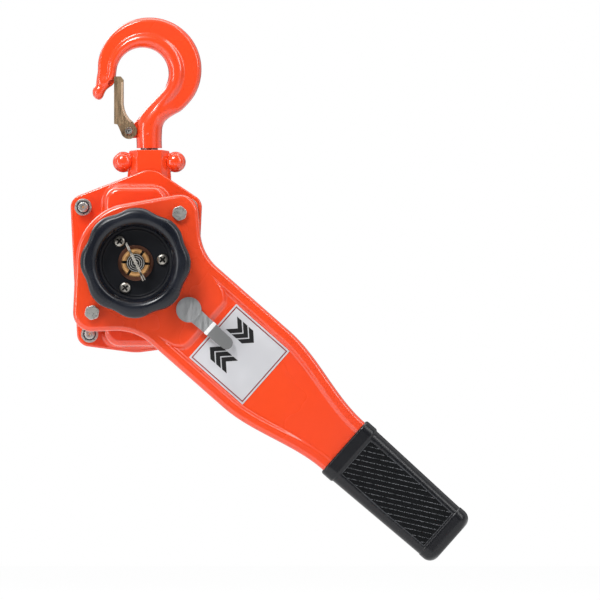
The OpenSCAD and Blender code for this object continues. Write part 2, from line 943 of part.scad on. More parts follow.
module pawl(turn) {
    color(steel) about_drive() difference() {
        front_slab(ratchet_from - 0.5, ratchet_to + 0.5) rotate(pawl_angle + turn) pawl_outline();
        front_bar(pawl_pin_d / 2 + run_fit, ratchet_from - 3, ratchet_to + 3, pawl_pin_at(turn));
    }
}

module pawl_a() {
    pawl(0);
}

module pawl_b() {
    pawl(180);
}

module pawl_pins() {
    shoulder_to = ratchet_from - 0.5 - side_gap;
    color(steel) about_drive() for (turn = [0, 180]) {
        front_bar(pawl_pin_d / 2, plate_in, ratchet_to + 2, pawl_pin_at(turn));
        front_bar(pawl_hub_r - 2, plate_out, hub_front - 3, pawl_pin_at(turn));
        front_bar(pawl_pin_d / 2 + 1.2, ratchet_to + 0.5 + side_gap, ratchet_to + 2, pawl_pin_at(turn));
        front_bar(pawl_pin_d / 2 + 0.8, hub_front - 3 - past, shoulder_to, pawl_pin_at(turn));
    }
}

// Coiled sleeves around the pawl pins, behind the pawls
module pawl_springs() {
    color(zinc) about_drive() for (turn = [0, 180]) difference() {
        front_bar(pawl_hub_r - 0.6, hub_front - 2.8, ratchet_from - 0.9, pawl_pin_at(turn));
        front_bar(pawl_pin_d / 2 + 1, hub_front - 4, ratchet_from, pawl_pin_at(turn));
    }
}

// ---------- Drive ----------

module gear_blank(n, tip, depth, from, to, pointing) {
    step = 360 / n;
    root = tip - depth;
    front_slab(from, to) polygon([
        for (k = [0:n - 1], p = [[root, -0.26], [tip, -0.11], [tip, 0.11], [root, 0.26]])
            let (a = pointing + step * (k + 0.5 + p[1])) p[0] * [cos(a), sin(a)]
    ]);
}

module change_gear() {
    tip = change_gear_d / 2;
    color(steel) about_drive() difference() {
        union() {
            front_bar(friction_r - 0.5, press_face, press_face + 4);
            front_bar(thread_r + 9, press_face + 3, change_from + past);
            gear_blank(change_teeth, tip, change_tooth, change_from, change_to, lever_angle);
            front_bar(nose_r, change_to - past, nose_to);
        }
        front_bar(thread_r + run_fit, press_face - past, nose_to + past);
        for (i = [0:2]) {
            front_bar(screw_r, nose_to - 8, nose_to + past, screw_place(i));
        }
    }
}

function screw_place(i) = screw_at * [cos(screw_angle + 120 * i), sin(screw_angle + 120 * i)];

module wheel_outline() {
    steps = 15 * wheel_lobes;
    polygon([
        for (i = [0:steps - 1])
            let (a = 90 + 360 * i / steps, r = wheel_r - lobe_wave * pow((1 - cos(wheel_lobes * (a - 88))) / 2, 1.5))
            r * [cos(a), sin(a)]
    ]);
}

module handwheel() {
    rim_round = 5;
    wall = 3.5;
    mouth_back = wheel_front - cup_depth;
    color(black) about_drive() difference() {
        intersection() {
            front_slab(wheel_back, wheel_front) wheel_outline();
            turned() polygon(concat(
                [[0, wheel_back], [wheel_r - 3, wheel_back], [wheel_r + 1, wheel_back + 5]],
                arc([wheel_r + 1 - rim_round - 2, wheel_front - rim_round - 1.5], rim_round + 2, 0, 80, 5),
                [[cup_mouth_r + 3, wheel_front], [0, wheel_front]]
            ));
        }
        turned() polygon(concat(
            [[0, floor_to], [cup_floor_r, floor_to], [cup_floor_r + 0.8, floor_to + 2]],
            [[cup_mouth_r - 1, wheel_front - 5]],
            arc([cup_mouth_r + 3, wheel_front - 4], 4, 180, 90, 4),
            [[cup_mouth_r + 3, wheel_front + past], [0, wheel_front + past]]
        ));
        front_bar(thread_r + 0.5, wheel_back - past, floor_to + past);
        front_bar(nose_r + side_gap, wheel_back - past, nose_to);
        for (i = [0:2]) {
            front_bar(screw_r, wheel_back, floor_to + past, screw_place(i));
        }
        ring_plate(wheel_r - lobe_wave - wall, cup_mouth_r + wall, wheel_back - past, wheel_front - rim_round - wall);
    }
}

module wheel_screws() {
    color(zinc) about_drive() for (i = [0:2]) {
        front_bar(screw_r, nose_to - 7, floor_to, screw_place(i));
        difference() {
            intersection() {
                front_bar(screw_head_r, floor_to, floor_to + screw_head_h, screw_place(i));
                translate([screw_place(i)[0], screw_dome_r - screw_head_h - floor_to, screw_place(i)[1]])
                    sphere(r = screw_dome_r);
            }
            for (turn = [20, 110]) {
                front_slab(floor_to + screw_head_h - cross_deep, floor_to + screw_head_h + past)
                    translate(screw_place(i)) rotate(turn) square([cross_l, cross_w], center = true);
            }
        }
    }
}

module end_washer() {
    color(bronze) about_drive() ring_plate(washer_d / 2, end_r, washer_from, washer_to);
}

module castle_nut() {
    slot_w = cotter_wire_r * 2 + 0.7;
    color("goldenrod") about_drive() difference() {
        front_bar(castle_d / 2, washer_to, castle_to);
        front_bar(end_r, washer_to - past, castle_to + past);
        for (i = [0:2]) {
            front_slab(castle_to - 4.4, castle_to + past) rotate(cotter_angle + 60 * i)
                square([castle_d + 4, slot_w], center = true);
        }
    }
}

// A straight wire along the cotter pin, from one distance to another; it lies across the shaft's end
module cotter_line(d, from, to) {
    translate([0, -cotter_at, 0]) rotate([0, -cotter_angle, 0]) translate([from, 0, 0]) rotate([0, 90, 0])
        cylinder(d = d, h = to - from);
}

// Two legs side by side, joined by the eye, which is seen edge on
module cotter_pin() {
    color(zinc) about_drive() {
        difference() {
            cotter_line(cotter_wire_r * 2, -legs_to, eye_at - eye_r);
            translate([0, -cotter_at, 0]) rotate([0, -cotter_angle, 0])
                translate([-legs_to - past, -cotter_wire_r - past, -leg_gap / 2])
                cube([legs_to + eye_at - eye_r - cotter_wire_r, 2 * cotter_wire_r + 2 * past, leg_gap]);
        }
        translate([0, -cotter_at, 0]) rotate([0, -cotter_angle, 0]) translate([eye_at, 0, 0])
            rotate_extrude() translate([eye_r, 0]) circle(r = cotter_wire_r - 0.1, $fn = 16);
    }
}

// ---------- Lever ----------

function arm_half(u) = blend(arm_half_w, neck_half_w, smooth((u - narrow_from) / taper_len));

// Upper edge of the lever from the back of the head to the grip, moved in by an inset
function lever_edge(inset) =
    let (
        n = [cos(shoulder_normal), sin(shoulder_normal)],
        line_at = n * [0, head_bolt_v] + head_corner_r,
        centre_v = arm_half_w + shoulder_r,
        centre_u = (line_at + shoulder_r - n[1] * centre_v) / n[0]
    )
    concat(
        arc([0, 0], head_r - inset, 180, 90 + 90 - head_lean, 4),
        arc([0, head_bolt_v], head_corner_r - inset, 180 - head_lean, shoulder_normal, 8),
        arc([centre_u, centre_v], shoulder_r + inset, 180 + shoulder_normal, 270, 6),
        [for (i = [0:10]) let (u = narrow_from + taper_len * i / 10) [u, arm_half(u) - inset]]
    );

module lever_outline(inset = 0) {
    edge = lever_edge(inset);
    polygon(concat(edge, mirrored(edge)));
}

// The sunk panel between the arm's raised edges
module panel_outline(inset = 0) {
    step = (panel_to - narrow_from) / 6;
    half = concat(
        [[selector_at + 18 + inset, 22 - inset], [selector_at + 10.5 + inset, 31 - inset]],
        [[selector_at - 8 + inset, arm_half_w - edge_w - inset]],
        [for (i = [0:6]) let (u = narrow_from + step * i) [u - inset * i / 6, arm_half(u) - edge_w - inset]]
    );
    polygon(concat(half, mirrored(half)));
}

module in_lever() {
    about_drive() rotate([0, -lever_angle, 0]) children();
}

module head_bolt_places() {
    for (s = [-1, 1]) {
        translate([0, 0, s * head_bolt_v]) children();
    }
}

module tang_outline() {
    translate([grip_from - 6, -tang_half_w]) square([arm_end - grip_from + 6, 2 * tang_half_w]);
}

// Half of the lever between its outer face and its middle, drawn towards the handwheel
module lever_half_shell(from, to) {
    difference() {
        union() {
            front_slab(from, to) lever_outline();
            front_slab(from, lever_mid + tang_t / 2) tang_outline();
        }
        front_slab(from - past, to - lever_sheet) difference() {
            lever_outline(lever_sheet);
            translate([grip_from - 8, -60]) square([20, 120]);
        }
        head_bolt_places() front_bar(bolt_r, from - past, to + past);
    }
}

module lever_front_shell() {
    color(paint) in_lever() difference() {
        union() {
            lever_half_shell(lever_mid, lever_front);
            front_slab(lever_front - lever_sheet - panel_sink, lever_front - past) panel_outline(-lever_sheet);
        }
        front_slab(lever_front - panel_sink, lever_front + past) panel_outline();
        front_bar(nose_r + run_fit, lever_mid - past, lever_front + past);
        front_bar(selector_shaft_r + run_fit, lever_mid - past, lever_front + past, [selector_at, 0]);
    }
}

module lever_rear_shell() {
    color(paint) in_lever() {
        difference() {
            mirror([0, 1, 0]) translate([0, 2 * lever_mid, 0]) lever_half_shell(lever_mid, lever_front);
            front_bar(neck_out + run_fit, lever_back - past, lever_mid + past);
            front_bar(spigot_r + run_fit, lever_back - past, lever_mid, [selector_at, 0]);
        }
        head_bolt_places() difference() {
            front_bar(post_r, lever_back + 1, lever_front - lever_sheet);
            front_bar(bolt_r, lever_back, lever_front);
        }
        difference() {
            front_bar(selector_shaft_r + 3, lever_back + 1, spigot_seat, [selector_at, 0]);
            front_bar(spigot_r + run_fit, lever_back, lever_front, [selector_at, 0]);
        }
    }
}

module lever_snap_ring() {
    color(steel) about_drive() difference() {
        ring_plate(neck_out + 3, neck_out - 1.5, ring_from, ring_to);
        front_slab(ring_from - past, ring_to + past) rotate(20) translate([neck_out, 0])
            square([12, 8], center = true);
    }
}

module lever_bolts() {
    color(zinc) in_lever() head_bolt_places() {
        front_bar(bolt_r, lever_back - lever_nut_h - 0.4, lever_front);
        hex_head(bolt_af, lever_front, lever_front + 4.5);
    }
}

module lever_nuts() {
    color(zinc) in_lever() head_bolt_places() difference() {
        hex_head(bolt_af, lever_back - lever_nut_h, lever_back);
        front_bar(bolt_r, lever_back - lever_nut_h - past, lever_back + past);
    }
}

module grip_outline(inset = 0) {
    collar = 12;
    body_half = collar_half_w - 1.2;
    end_r = 9;
    half = concat(
        [[grip_from + inset / 2, collar_half_w - 2 - inset], [grip_from + 2 + inset / 2, collar_half_w - inset]],
        [[grip_from + collar, collar_half_w - inset], [grip_from + collar + 1.5, body_half - inset]],
        [[lever_len - 14, grip_end_half_w - inset], [lever_len - 13, grip_end_half_w + 0.7 - inset]],
        arc([lever_len - end_r, grip_end_half_w - end_r], end_r - inset, 85, 5, 5)
    );
    polygon(concat(half, mirrored(half)));
}

module lever_grip() {
    round = 3.5;
    panel_half = 19;
    rib_step = 5.2;
    ribs = ceil((lever_len - grip_from) / rib_step);
    color(black) in_lever() difference() {
        union() {
            difference() {
                hull() {
                    front_slab(lever_mid - grip_t / 2 + round, lever_mid + grip_t / 2 - round) grip_outline();
                    front_slab(lever_mid - grip_t / 2, lever_mid + grip_t / 2) grip_outline(round);
                }
                for (s = [-1, 1]) {
                    grip_panel(s, panel_half);
                }
            }
            for (s = [-1, 1]) {
                intersection() {
                    grip_panel(s, panel_half);
                    for (i = [0:ribs]) {
                        translate([grip_from + rib_step * i, -lever_mid, 0]) rotate([0, -58, 0])
                            cube([1.6, grip_t - 0.6, 80], center = true);
                    }
                }
            }
        }
        front_slab(lever_mid - tang_t / 2, lever_mid + tang_t / 2) tang_outline();
    }
}

// The sunk field of a grip's face, where the ribs stand
module grip_panel(side, half) {
    sink = 1.2;
    y = -lever_mid + side * (grip_t / 2 - sink / 2);
    translate([(grip_from + lever_len) / 2 - 0.5, y, 0])
        cube([lever_len - grip_from - 28, sink + 0.02, 2 * half], center = true);
}

module label_plate() {
    face = lever_front - panel_sink;
    color("gainsboro") in_lever() front_slab(face, face + 0.5)
        translate([label_from, -label_side / 2]) square(label_side);
}

// ---------- Selector ----------

module selector_lever() {
    hub_r = selector_hub_d / 2;
    base = lever_front + side_gap;
    at = [selector_at, 0];
    color("darkgray") in_lever() difference() {
        union() {
            front_bar(hub_r, base, base + 6.5, at);
            front_bar(hub_r - 1.2, base + 6, base + 7.5, at);
            front_bar(selector_shaft_r, spigot_seat + side_gap, base + past, at);
            front_bar(spigot_r, lever_back + 0.5, spigot_seat + past, at);
            front_slab(base + 1.2, base + 5.2) translate(at) hull() {
                circle(r = selector_w / 2 + 1.5);
                translate([selector_len - selector_w / 2, 0]) circle(r = selector_w / 2);
            }
        }
        front_slab(base + 4.8, base + 7) translate([selector_at + selector_len * 0.47, -selector_w])
            square([2.6, 2 * selector_w]);
    }
}

module change_pawl() {
    from = change_from + 0.5;
    to = change_to - 0.5;
    color(steel) in_lever() difference() {
        front_slab(from, to) translate([selector_at, 0]) difference() {
            union() {
                circle(r = pawl_disc_r);
                for (s = [-1, 1]) {
                    rotate(180 + s * horn_turn) hull() {
                        translate([pawl_disc_r - 4, 0]) circle(r = horn_root_r);
                        translate([horn_reach, 0]) circle(r = horn_r);
                    }
                }
            }
            for (s = [-1, 0, 1]) {
                rotate(s * selector_swing) translate([pawl_disc_r + 1.2, 0]) circle(r = 2.6);
            }
        }
        front_bar(selector_shaft_r, from - past, to + past, [selector_at, 0]);
    }
}

// A bar along the lever, from one distance to another, in the middle of the change pawl's depth
module lever_bar(r, from, to) {
    translate([from, -(change_from + change_to) / 2, 0]) rotate([0, 90, 0]) cylinder(r = r, h = to - from);
}

module detent_plunger() {
    color(steel) in_lever() {
        lever_bar(plunger_r, plunger_from + 1.5, plunger_from + plunger_len);
        translate([plunger_from + 2, -(change_from + change_to) / 2, 0]) sphere(r = 2);
        lever_bar(1.6, plunger_from + plunger_len - past, plunger_from + plunger_len + 6);
    }
}

// The detent's spring in its closed housing, which stands on the rear shell
module detent_spring() {
    from = plunger_from + plunger_len;
    color(zinc) in_lever() {
        difference() {
            lever_bar(3.4, from, from + spring_len);
            lever_bar(1.8, from - past, from + spring_len - 1);
        }
        translate([from + spring_len, -change_to, -8])
            cube([3, change_to - lever_back - lever_sheet, 16]);
    }
}

// ---------- Hook ----------

// Outer edge of the bowl seen from its centre
function back_point(a) =
    let (
        d = [cos(a), sin(a)],
        along = d * back_centre,
        reach = along + sqrt(along * along - back_centre * back_centre + back_r * back_r)
    )
    reach * d;

// Stations along the hook: inner edge, outer edge, half thickness
function neck_stations() = [
    for (i = [0:5])
        let (
            t = i / 5,
            inner = cubic([
                [neck_x - shank_r, foot_z + 20], [neck_x - shank_r, foot_z + 28],
                bowl_r * [cos(throat_from), sin(throat_from)] - [11, 12.5],
                bowl_r * [cos(throat_from), sin(throat_from)]
            ], t),
            outer = cubic([
                [neck_x + shank_r, foot_z + 12], [neck_x + shank_r, foot_z + 24],
                back_point(throat_from - 4) - [13, 8.5],
                back_point(throat_from - 4)
            ], t)
        )
        [inner, outer, blend(shank_r - 0.5, hook_half_t, t)]
];

function bowl_stations() = [
    for (i = [1:14])
        let (a = throat_from + (178 - throat_from) * i / 14)
        [bowl_r * [cos(a), sin(a)], back_point(a), blend(hook_half_t, 6.6, smooth(i / 14))]
];

function tip_stations() = [
    [[-24.6, -4.8], [-40.1, -4.2], 6.2],
    [[-27.4, -10.4], [-41.2, -9.2], 5.6],
    [[-30.8, -15.4], [-43.9, -13.4], 5.2],
    [[-34.4, -19.6], [-43.6, -17.8], 4.4],
    [[-37.0, -21.8], [-40.6, -20.9], 2.4]
];

function hook_stations() = concat(
    [[[neck_x - shank_r, foot_z], [neck_x + shank_r, foot_z], shank_r - 0.5]],
    neck_stations(), bowl_stations(), tip_stations()
);

// A forged section: squarish, and thicker towards the bowl
function hook_ring(s, n) =
    let (mid = (s[0] + s[1]) / 2, half = (s[1] - s[0]) / 2)
    [for (j = [0:n - 1])
        let (
            c = cos(360 * j / n),
            d = sin(360 * j / n),
            w = sign(c) * pow(abs(c), 0.8),
            y = s[2] * sign(d) * pow(abs(d), 0.8) * (1 - 0.14 * w),
            p = mid + half * w
        )
        [p[0], y, p[1]]];

module hook_body() {
    n = 16;
    stations = hook_stations();
    polyhedron([for (s = stations) each hook_ring(s, n)], skin(len(stations), n), convexity = 8);
}

module top_hook() {
    color(paint) {
        difference() {
            union() {
                hook_body();
                front_slab(-ear_t / 2, ear_t / 2) hull() {
                    translate(latch_pivot) circle(r = 6.6);
                    translate([neck_x - 4, foot_z + 8]) square([4, 16]);
                }
            }
            front_bar(latch_pin_r, -20, 20, latch_pivot);
            for (s = [-1, 1]) {
                latch_seat(s);
            }
        }
        translate([neck_x, 0, cave_top - hook_nut_h - 0.5 - bowl_z]) cylinder(d = neck_d, h = shank_z + 4 - cave_top + hook_nut_h);
    }
}

// The tip is thinned where the latch's cheeks lie against it
module latch_seat(side) {
    y = side > 0 ? latch_gap / 2 - side_gap : -latch_gap / 2 + side_gap - 6;
    translate([latch_pivot[0] + latch_left - side_gap, y, latch_pivot[1] + 34]) cube([16, 6, latch_len - 30]);
}

module hook_nut() {
    from = cave_top - side_gap - hook_nut_h - bowl_z;
    color(steel) difference() {
        translate([neck_x, 0, from]) cylinder(d = hook_nut_d, h = hook_nut_h);
        translate([neck_x, 0, from - past]) cylinder(d = neck_d, h = hook_nut_h + 2 * past);
    }
}

module latch_outline() {
    right = latch_left + latch_w;
    translate(latch_pivot) {
        circle(r = 7);
        polygon([
            [latch_left, 6.2], [latch_left, latch_len], [latch_left + 5.9, latch_len],
            [right, latch_len - 3], [right, 23], [right + 0.8, 18.8], [right + 2.3, 14.8],
            [right + 4.8, 11], [right + 8.4, 7.6],
            [6.6, 2.4], [0, 0], [-6.9, -1.2], [-10, 5.7]
        ]);
    }
}

module latch() {
    inner = latch_gap / 2;
    outer = inner + latch_sheet;
    web_low = 17;
    color("darkkhaki") difference() {
        union() {
            front_slab(inner, outer) latch_outline();
            front_slab(-outer, -inner) latch_outline();
            front_slab(-outer, outer) intersection() {
                difference() {
                    latch_outline();
                    translate([-latch_sheet, 0]) latch_outline();
                }
                translate(latch_pivot + [latch_left + 4, web_low]) square([12, latch_len - 3 - web_low]);
            }
        }
        front_bar(latch_pin_r + run_fit, -20, 20, latch_pivot);
    }
}

module latch_pin() {
    reach = latch_gap / 2 + latch_sheet + side_gap;
    color(zinc) {
        front_bar(latch_pin_r, -reach - 0.5, reach + 0.5, latch_pivot);
        for (s = [-1, 1]) {
            front_bar(latch_pin_r + 0.9, s > 0 ? reach : -reach - 1.2, s > 0 ? reach + 1.2 : -reach, latch_pivot);
        }
    }
}

// The latch's spring is wound on its pin, with one leg towards the latch and one towards the shank
module latch_spring() {
    wire_r = 0.4;
    coil_r = latch_pin_r + wire_r + 0.15;
    turns = 2;
    from = ear_t / 2 + wire_r + 0.1;
    rise = 2 * wire_r + 0.1;
    steps = 16;
    coil = [
        for (i = [0:turns * steps])
            let (a = 100 - 360 * i / steps)
            [coil_r * cos(a), -from - rise * i / steps, coil_r * sin(a)]
    ];
    leg_in = [[coil_r * cos(100) + 6.6, -from, coil_r * sin(100)]];
    leg_out = [coil[len(coil) - 1] + [-5.5, 0, 0.8]];
    color(zinc) translate([latch_pivot[0], 0, latch_pivot[1]]) wire(concat(leg_in, coil, leg_out), wire_r, 8);
}

// ---------- Yoke ----------

// The yoke's body, about the drive axis: it widens a little towards its foot
module yoke_body_outline() {
    hull() {
        translate([hook_axis_x - block_half, rivet_z - 6]) square([2 * block_half, 6]);
        translate([hook_axis_x - yoke_foot_w / 2, pin_z + 8]) square([yoke_foot_w, 7]);
        translate(hook_pin) circle(r = yoke_eye_r - 0.5);
    }
}

module yoke_lobe() {
    half = yoke_lobe_t / 2;
    rotate([90, 0, 0]) rotate_extrude() polygon(concat(
        [[0, 0], [rivet_lobe_r, 0]],
        arc([rivet_lobe_r - lobe_round, half - lobe_round], lobe_round, 0, 90, 5),
        [[0, half]]
    ));
}

module yoke_half() {
    color(paint) about_drive() difference() {
        union() {
            front_slab(0, yoke_lobe_t / 2) yoke_body_outline();
            for (s = [-1, 1]) {
                translate([hook_axis_x + s * rivet_x, 0, rivet_z]) yoke_lobe();
            }
            hull() {
                front_slab(0, yoke_t / 2) translate([hook_axis_x - yoke_face_w / 2, pin_z + 8])
                    square([yoke_face_w, yoke_top - pin_z - 8]);
                front_slab(0, yoke_t / 2 - 7) translate([hook_axis_x - block_half, pin_z + 8])
                    square([2 * block_half, yoke_top - pin_z - 9]);
            }
            front_bar(yoke_eye_r, 0, yoke_t / 2, hook_pin);
        }
        front_bar(pin_d / 2 + run_fit, -past, yoke_t, hook_pin);
        for (s = [-1, 1]) {
            front_bar(rivet_d / 2, -past, yoke_t, [hook_axis_x + s * rivet_x, rivet_z]);
        }
        translate([hook_axis_x, 0, cave_top - hook_nut_h - cave_room])
            cylinder(d = hook_nut_d + 2 * side_gap, h = hook_nut_h + cave_room);
        translate([hook_axis_x, 0, cave_top - past]) cylinder(d = neck_d + 2 * run_fit, h = yoke_top - cave_top + 2 * past);
    }
}

module yoke_front_half() {
    yoke_half();
}

module yoke_rear_half() {
    mirror([0, 1, 0]) yoke_half();
}

module yoke_rivets() {
    color(paint) about_drive() for (s = [-1, 1]) translate([hook_axis_x + s * rivet_x, 0, rivet_z]) {
        front_bar(rivet_d / 2, -yoke_lobe_t / 2, yoke_lobe_t / 2);
        for (side = [0, 180]) {
            rotate([0, 0, side]) translate([0, -yoke_lobe_t / 2, 0]) intersection() {
                sphere(r = rivet_head_r);
                translate([-rivet_head_r, -rivet_head_r, -rivet_head_r])
                    cube([2 * rivet_head_r, rivet_head_r, 2 * rivet_head_r]);
            }
        }
    }
}

top_hook();
hook_nut();
latch();
latch_pin();
latch_spring();
yoke_front_half();
yoke_rear_half();
yoke_rivets();
suspension_pin();
side_plate_front();
side_plate_rear();
brake_cover();
gear_cover();
stay_bolts();
stay_sleeves();
cover_studs();
cover_nuts_front();
cover_nuts_rear();
sheave_bearings();
load_sheave();
load_gear();
guide_roller_a();
guide_roller_b();
roller_pins();
chain_stripper();
drive_shaft();
shaft_bush();
gear_cluster_a();
gear_cluster_b();
gear_pins();
disc_hub();
friction_disc_inner();
friction_disc_outer();
ratchet_disc();
pawl_a();
pawl_b();
pawl_pins();
pawl_springs();
change_gear();
handwheel();
wheel_screws();
end_washer();
castle_nut();
cotter_pin();
lever_rear_shell();
lever_front_shell();
lever_bolts();
lever_nuts();
lever_snap_ring();
lever_grip();
label_plate();
selector_lever();
change_pawl();
detent_plunger();
detent_spring();
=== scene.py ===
import json, math
import bpy, bmesh
import numpy as np
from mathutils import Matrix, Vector


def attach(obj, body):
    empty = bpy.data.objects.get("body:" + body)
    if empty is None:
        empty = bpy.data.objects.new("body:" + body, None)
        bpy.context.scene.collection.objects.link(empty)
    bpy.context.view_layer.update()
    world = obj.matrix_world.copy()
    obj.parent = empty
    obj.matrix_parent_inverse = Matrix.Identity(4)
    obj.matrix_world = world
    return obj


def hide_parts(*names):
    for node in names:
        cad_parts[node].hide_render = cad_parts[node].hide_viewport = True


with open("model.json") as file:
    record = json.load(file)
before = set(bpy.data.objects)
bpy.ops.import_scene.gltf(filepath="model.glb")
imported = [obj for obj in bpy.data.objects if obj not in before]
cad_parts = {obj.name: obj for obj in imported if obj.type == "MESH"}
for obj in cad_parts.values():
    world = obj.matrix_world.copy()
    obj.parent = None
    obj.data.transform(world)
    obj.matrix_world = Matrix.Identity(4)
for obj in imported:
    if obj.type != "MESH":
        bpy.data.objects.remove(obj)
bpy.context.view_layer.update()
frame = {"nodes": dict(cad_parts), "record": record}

# Lever chain hoist. Sizes are written in millimetres and meshes are made in metres.
# X is to the right, Z is up, the handwheel looks towards -Y. "front" is a distance towards the handwheel.
mm = 0.001
layout = dict(
    driveX=-7.4, driveZ=-164.8,   # drive axis from the centre of the hook's bowl
    leverAngle=-41.4,             # degrees from the right, at rest
    plateOut=21.02, flangeOut=24.5,
    leverBack=51.5, leverMid=61.75, leverFront=72.0,
)
leverA = math.radians(layout["leverAngle"])


# ---------- points ----------

def fromDrive(x, front, z):
    # points about the drive axis, with "front" towards the handwheel, in metres in the row's frame
    x, front, z = np.broadcast_arrays(np.asarray(x, float), np.asarray(front, float), np.asarray(z, float))
    return np.stack([x + layout["driveX"], -front, z + layout["driveZ"]], axis=-1) * mm


def alongLever(u, v):
    # u runs along the lever, v to its upper side; the answer is (x, z) about the drive axis
    c, s = math.cos(leverA), math.sin(leverA)
    return u * c - v * s, u * s + v * c


def fromLever(u, v, front):
    x, z = alongLever(np.asarray(u, float), np.asarray(v, float))
    return fromDrive(x, front, z)


def upright(points, y):
    # (x, z) points at one depth
    return np.stack([points[:, 0], np.full(len(points), y), points[:, 1]], axis=-1) * mm


def around(n):
    return np.linspace(0, 2 * math.pi, n + 1)[:-1]


def smooth(t):
    t = np.clip(t, 0, 1)
    return t * t * (3 - 2 * t)


def roundDrop(r, d):
    # how far a rounded edge of radius r lies below its face, at a distance d from the rim
    return r - np.sqrt(np.maximum(r * r - np.maximum(r - d, 0) ** 2, 0))


def fillet(x0, y0, x1, y1, n, first):
    # quarter ellipse from one point to another, leaving along x or along y
    a = np.linspace(0, math.pi / 2, n)
    fast, slow = np.sin(a), 1 - np.cos(a)
    if first == "y":
        fast, slow = slow, fast
    return np.stack([x0 + (x1 - x0) * fast, y0 + (y1 - y0) * slow], axis=-1)


def toPolyline(px, pz, line):
    # least distance from each point to a closed polyline
    best = np.full(px.shape, 1e9)
    for (ax, az), (bx, bz) in zip(line, np.roll(line, -1, axis=0)):
        dx, dz = bx - ax, bz - az
        q = dx * dx + dz * dz + 1e-12
        t = np.clip(((px - ax) * dx + (pz - az) * dz) / q, 0, 1)
        best = np.minimum(best, np.hypot(px - ax - t * dx, pz - az - t * dz))
    return best


def insidePolygon(px, pz, line):
    inside = np.zeros(px.shape, bool)
    for (ax, az), (bx, bz) in zip(line, np.roll(line, -1, axis=0)):
        if az != bz:
            inside ^= ((az > pz) != (bz > pz)) & (px < (bx - ax) * (pz - az) / (bz - az) + ax)
    return inside


# ---------- mesh helpers ----------

def linked(name, data):
    obj = bpy.data.objects.new(name, data)
    bpy.context.scene.collection.objects.link(obj)
    return obj


def smoothFaces(mesh):
    mesh.polygons.foreach_set("use_smooth", np.ones(len(mesh.polygons), bool))


def gridPiece(name, pts, closeRows=False, closeCols=False, capFirst=False, capLast=False):
    # A grid of points, rows by columns, becomes quads between neighbours. A cap closes the first or last row
    # with triangles to its mean point.
    rows, cols = pts.shape[:2]
    verts = pts.reshape(-1, 3)
    i = np.arange(rows if closeRows else rows - 1)
    j = np.arange(cols if closeCols else cols - 1)
    i, j = np.meshgrid(i, j, indexing="ij")
    i2, j2 = (i + 1) % rows, (j + 1) % cols
    quads = np.stack([i * cols + j, i * cols + j2, i2 * cols + j2, i2 * cols + j], axis=-1).reshape(-1, 4)
    tris = np.zeros((0, 3), int)
    for cap, row, sense in ((capFirst, 0, -1), (capLast, rows - 1, 1)):
        if cap:
            centre = len(verts)
            verts = np.vstack([verts, pts[row].mean(axis=0)])
            col = np.arange(cols)
            ring = np.stack([row * cols + col, row * cols + (col + 1) % cols, np.full(cols, centre)], axis=-1)
            tris = np.concatenate([tris, ring[:, ::sense]])
    mesh = bpy.data.meshes.new(name)
    mesh.vertices.add(len(verts))
    mesh.vertices.foreach_set("co", np.ascontiguousarray(verts, dtype=np.float32).ravel())
    loops = np.concatenate([quads.ravel(), tris.ravel()]).astype(np.int32)
    mesh.loops.add(len(loops))
    mesh.loops.foreach_set("vertex_index", loops)
    starts = np.concatenate([np.arange(len(quads)) * 4, len(quads) * 4 + np.arange(len(tris)) * 3])
    mesh.polygons.add(len(starts))
    mesh.polygons.foreach_set("loop_start", starts.astype(np.int32))
    mesh.update(calc_edges=True)
    mesh.validate()
    smoothFaces(mesh)
    return linked(name, mesh)


def closedGrid(name, pts):
    # a bar of rings with both ends closed
    return gridPiece(name, pts, closeCols=True, capFirst=True, capLast=True)


def meshPiece(name, verts, faces):
    mesh = bpy.data.meshes.new(name)
    mesh.from_pydata(verts, [], faces)
    mesh.update()
    return turnFaces(linked(name, mesh))


def slabPiece(name, outlines, spot, levels, strip=False):
    # plates between two levels. spot gives an outline's points at a level. A strip's faces are rows of quads.
    verts, faces = [], []
    for line in outlines:
        n, at = len(line), len(verts)
        for level in levels:
            verts += [tuple(q) for q in spot(np.array(line, float), level)]
        if strip:
            for a in range(n // 2 - 1):
                b = n - 1 - a
                faces += [[a, a + 1, b - 1, b], [n + b, n + b - 1, n + a + 1, n + a]]
        else:
            faces += [[at + i for i in range(n)], [at + 2 * n - 1 - i for i in range(n)]]
        faces += [[at + i, at + (i + 1) % n, at + n + (i + 1) % n, at + n + i] for i in range(n)]
    return meshPiece(name, verts, faces)


def turnFaces(obj, way=None, merge=True):
    # a closed piece faces outward; an open sheet is turned so that most of it faces along the way given
    bm = bmesh.new()
    bm.from_mesh(obj.data)
    if merge:
        bmesh.ops.remove_doubles(bm, verts=bm.verts, dist=1e-7)
    bmesh.ops.recalc_face_normals(bm, faces=bm.faces)
    outward = sum(f.normal.dot(Vector(way)) * f.calc_area() for f in bm.faces) if way else bm.calc_volume(signed=True)
    if outward < 0:
        bmesh.ops.reverse_faces(bm, faces=bm.faces)
    bm.to_mesh(obj.data)
    bm.free()
    return obj


def bake(obj):
    # the modifiers' result becomes the mesh
    old = obj.data
    mesh = bpy.data.meshes.new_from_object(obj.evaluated_get(bpy.context.evaluated_depsgraph_get()))
    obj.modifiers.clear()
    obj.data = mesh
    bpy.data.meshes.remove(old)


def splitNormals(obj, angle):
    # smooth shading, with edges sharper than the angle kept hard
    smoothFaces(obj.data)
    bm = bmesh.new()
    bm.from_mesh(obj.data)
    limit = math.radians(angle)
    for e in bm.edges:
        e.smooth = not (len(e.link_faces) == 2 and e.calc_face_angle(0) > limit)
    bm.to_mesh(obj.data)
    bm.free()


def bevel(obj, width, segments, angle):
    b = obj.modifiers.new("edges", "BEVEL")
    b.width, b.segments, b.limit_method, b.angle_limit = width * mm, segments, "ANGLE", math.radians(angle)
    return b


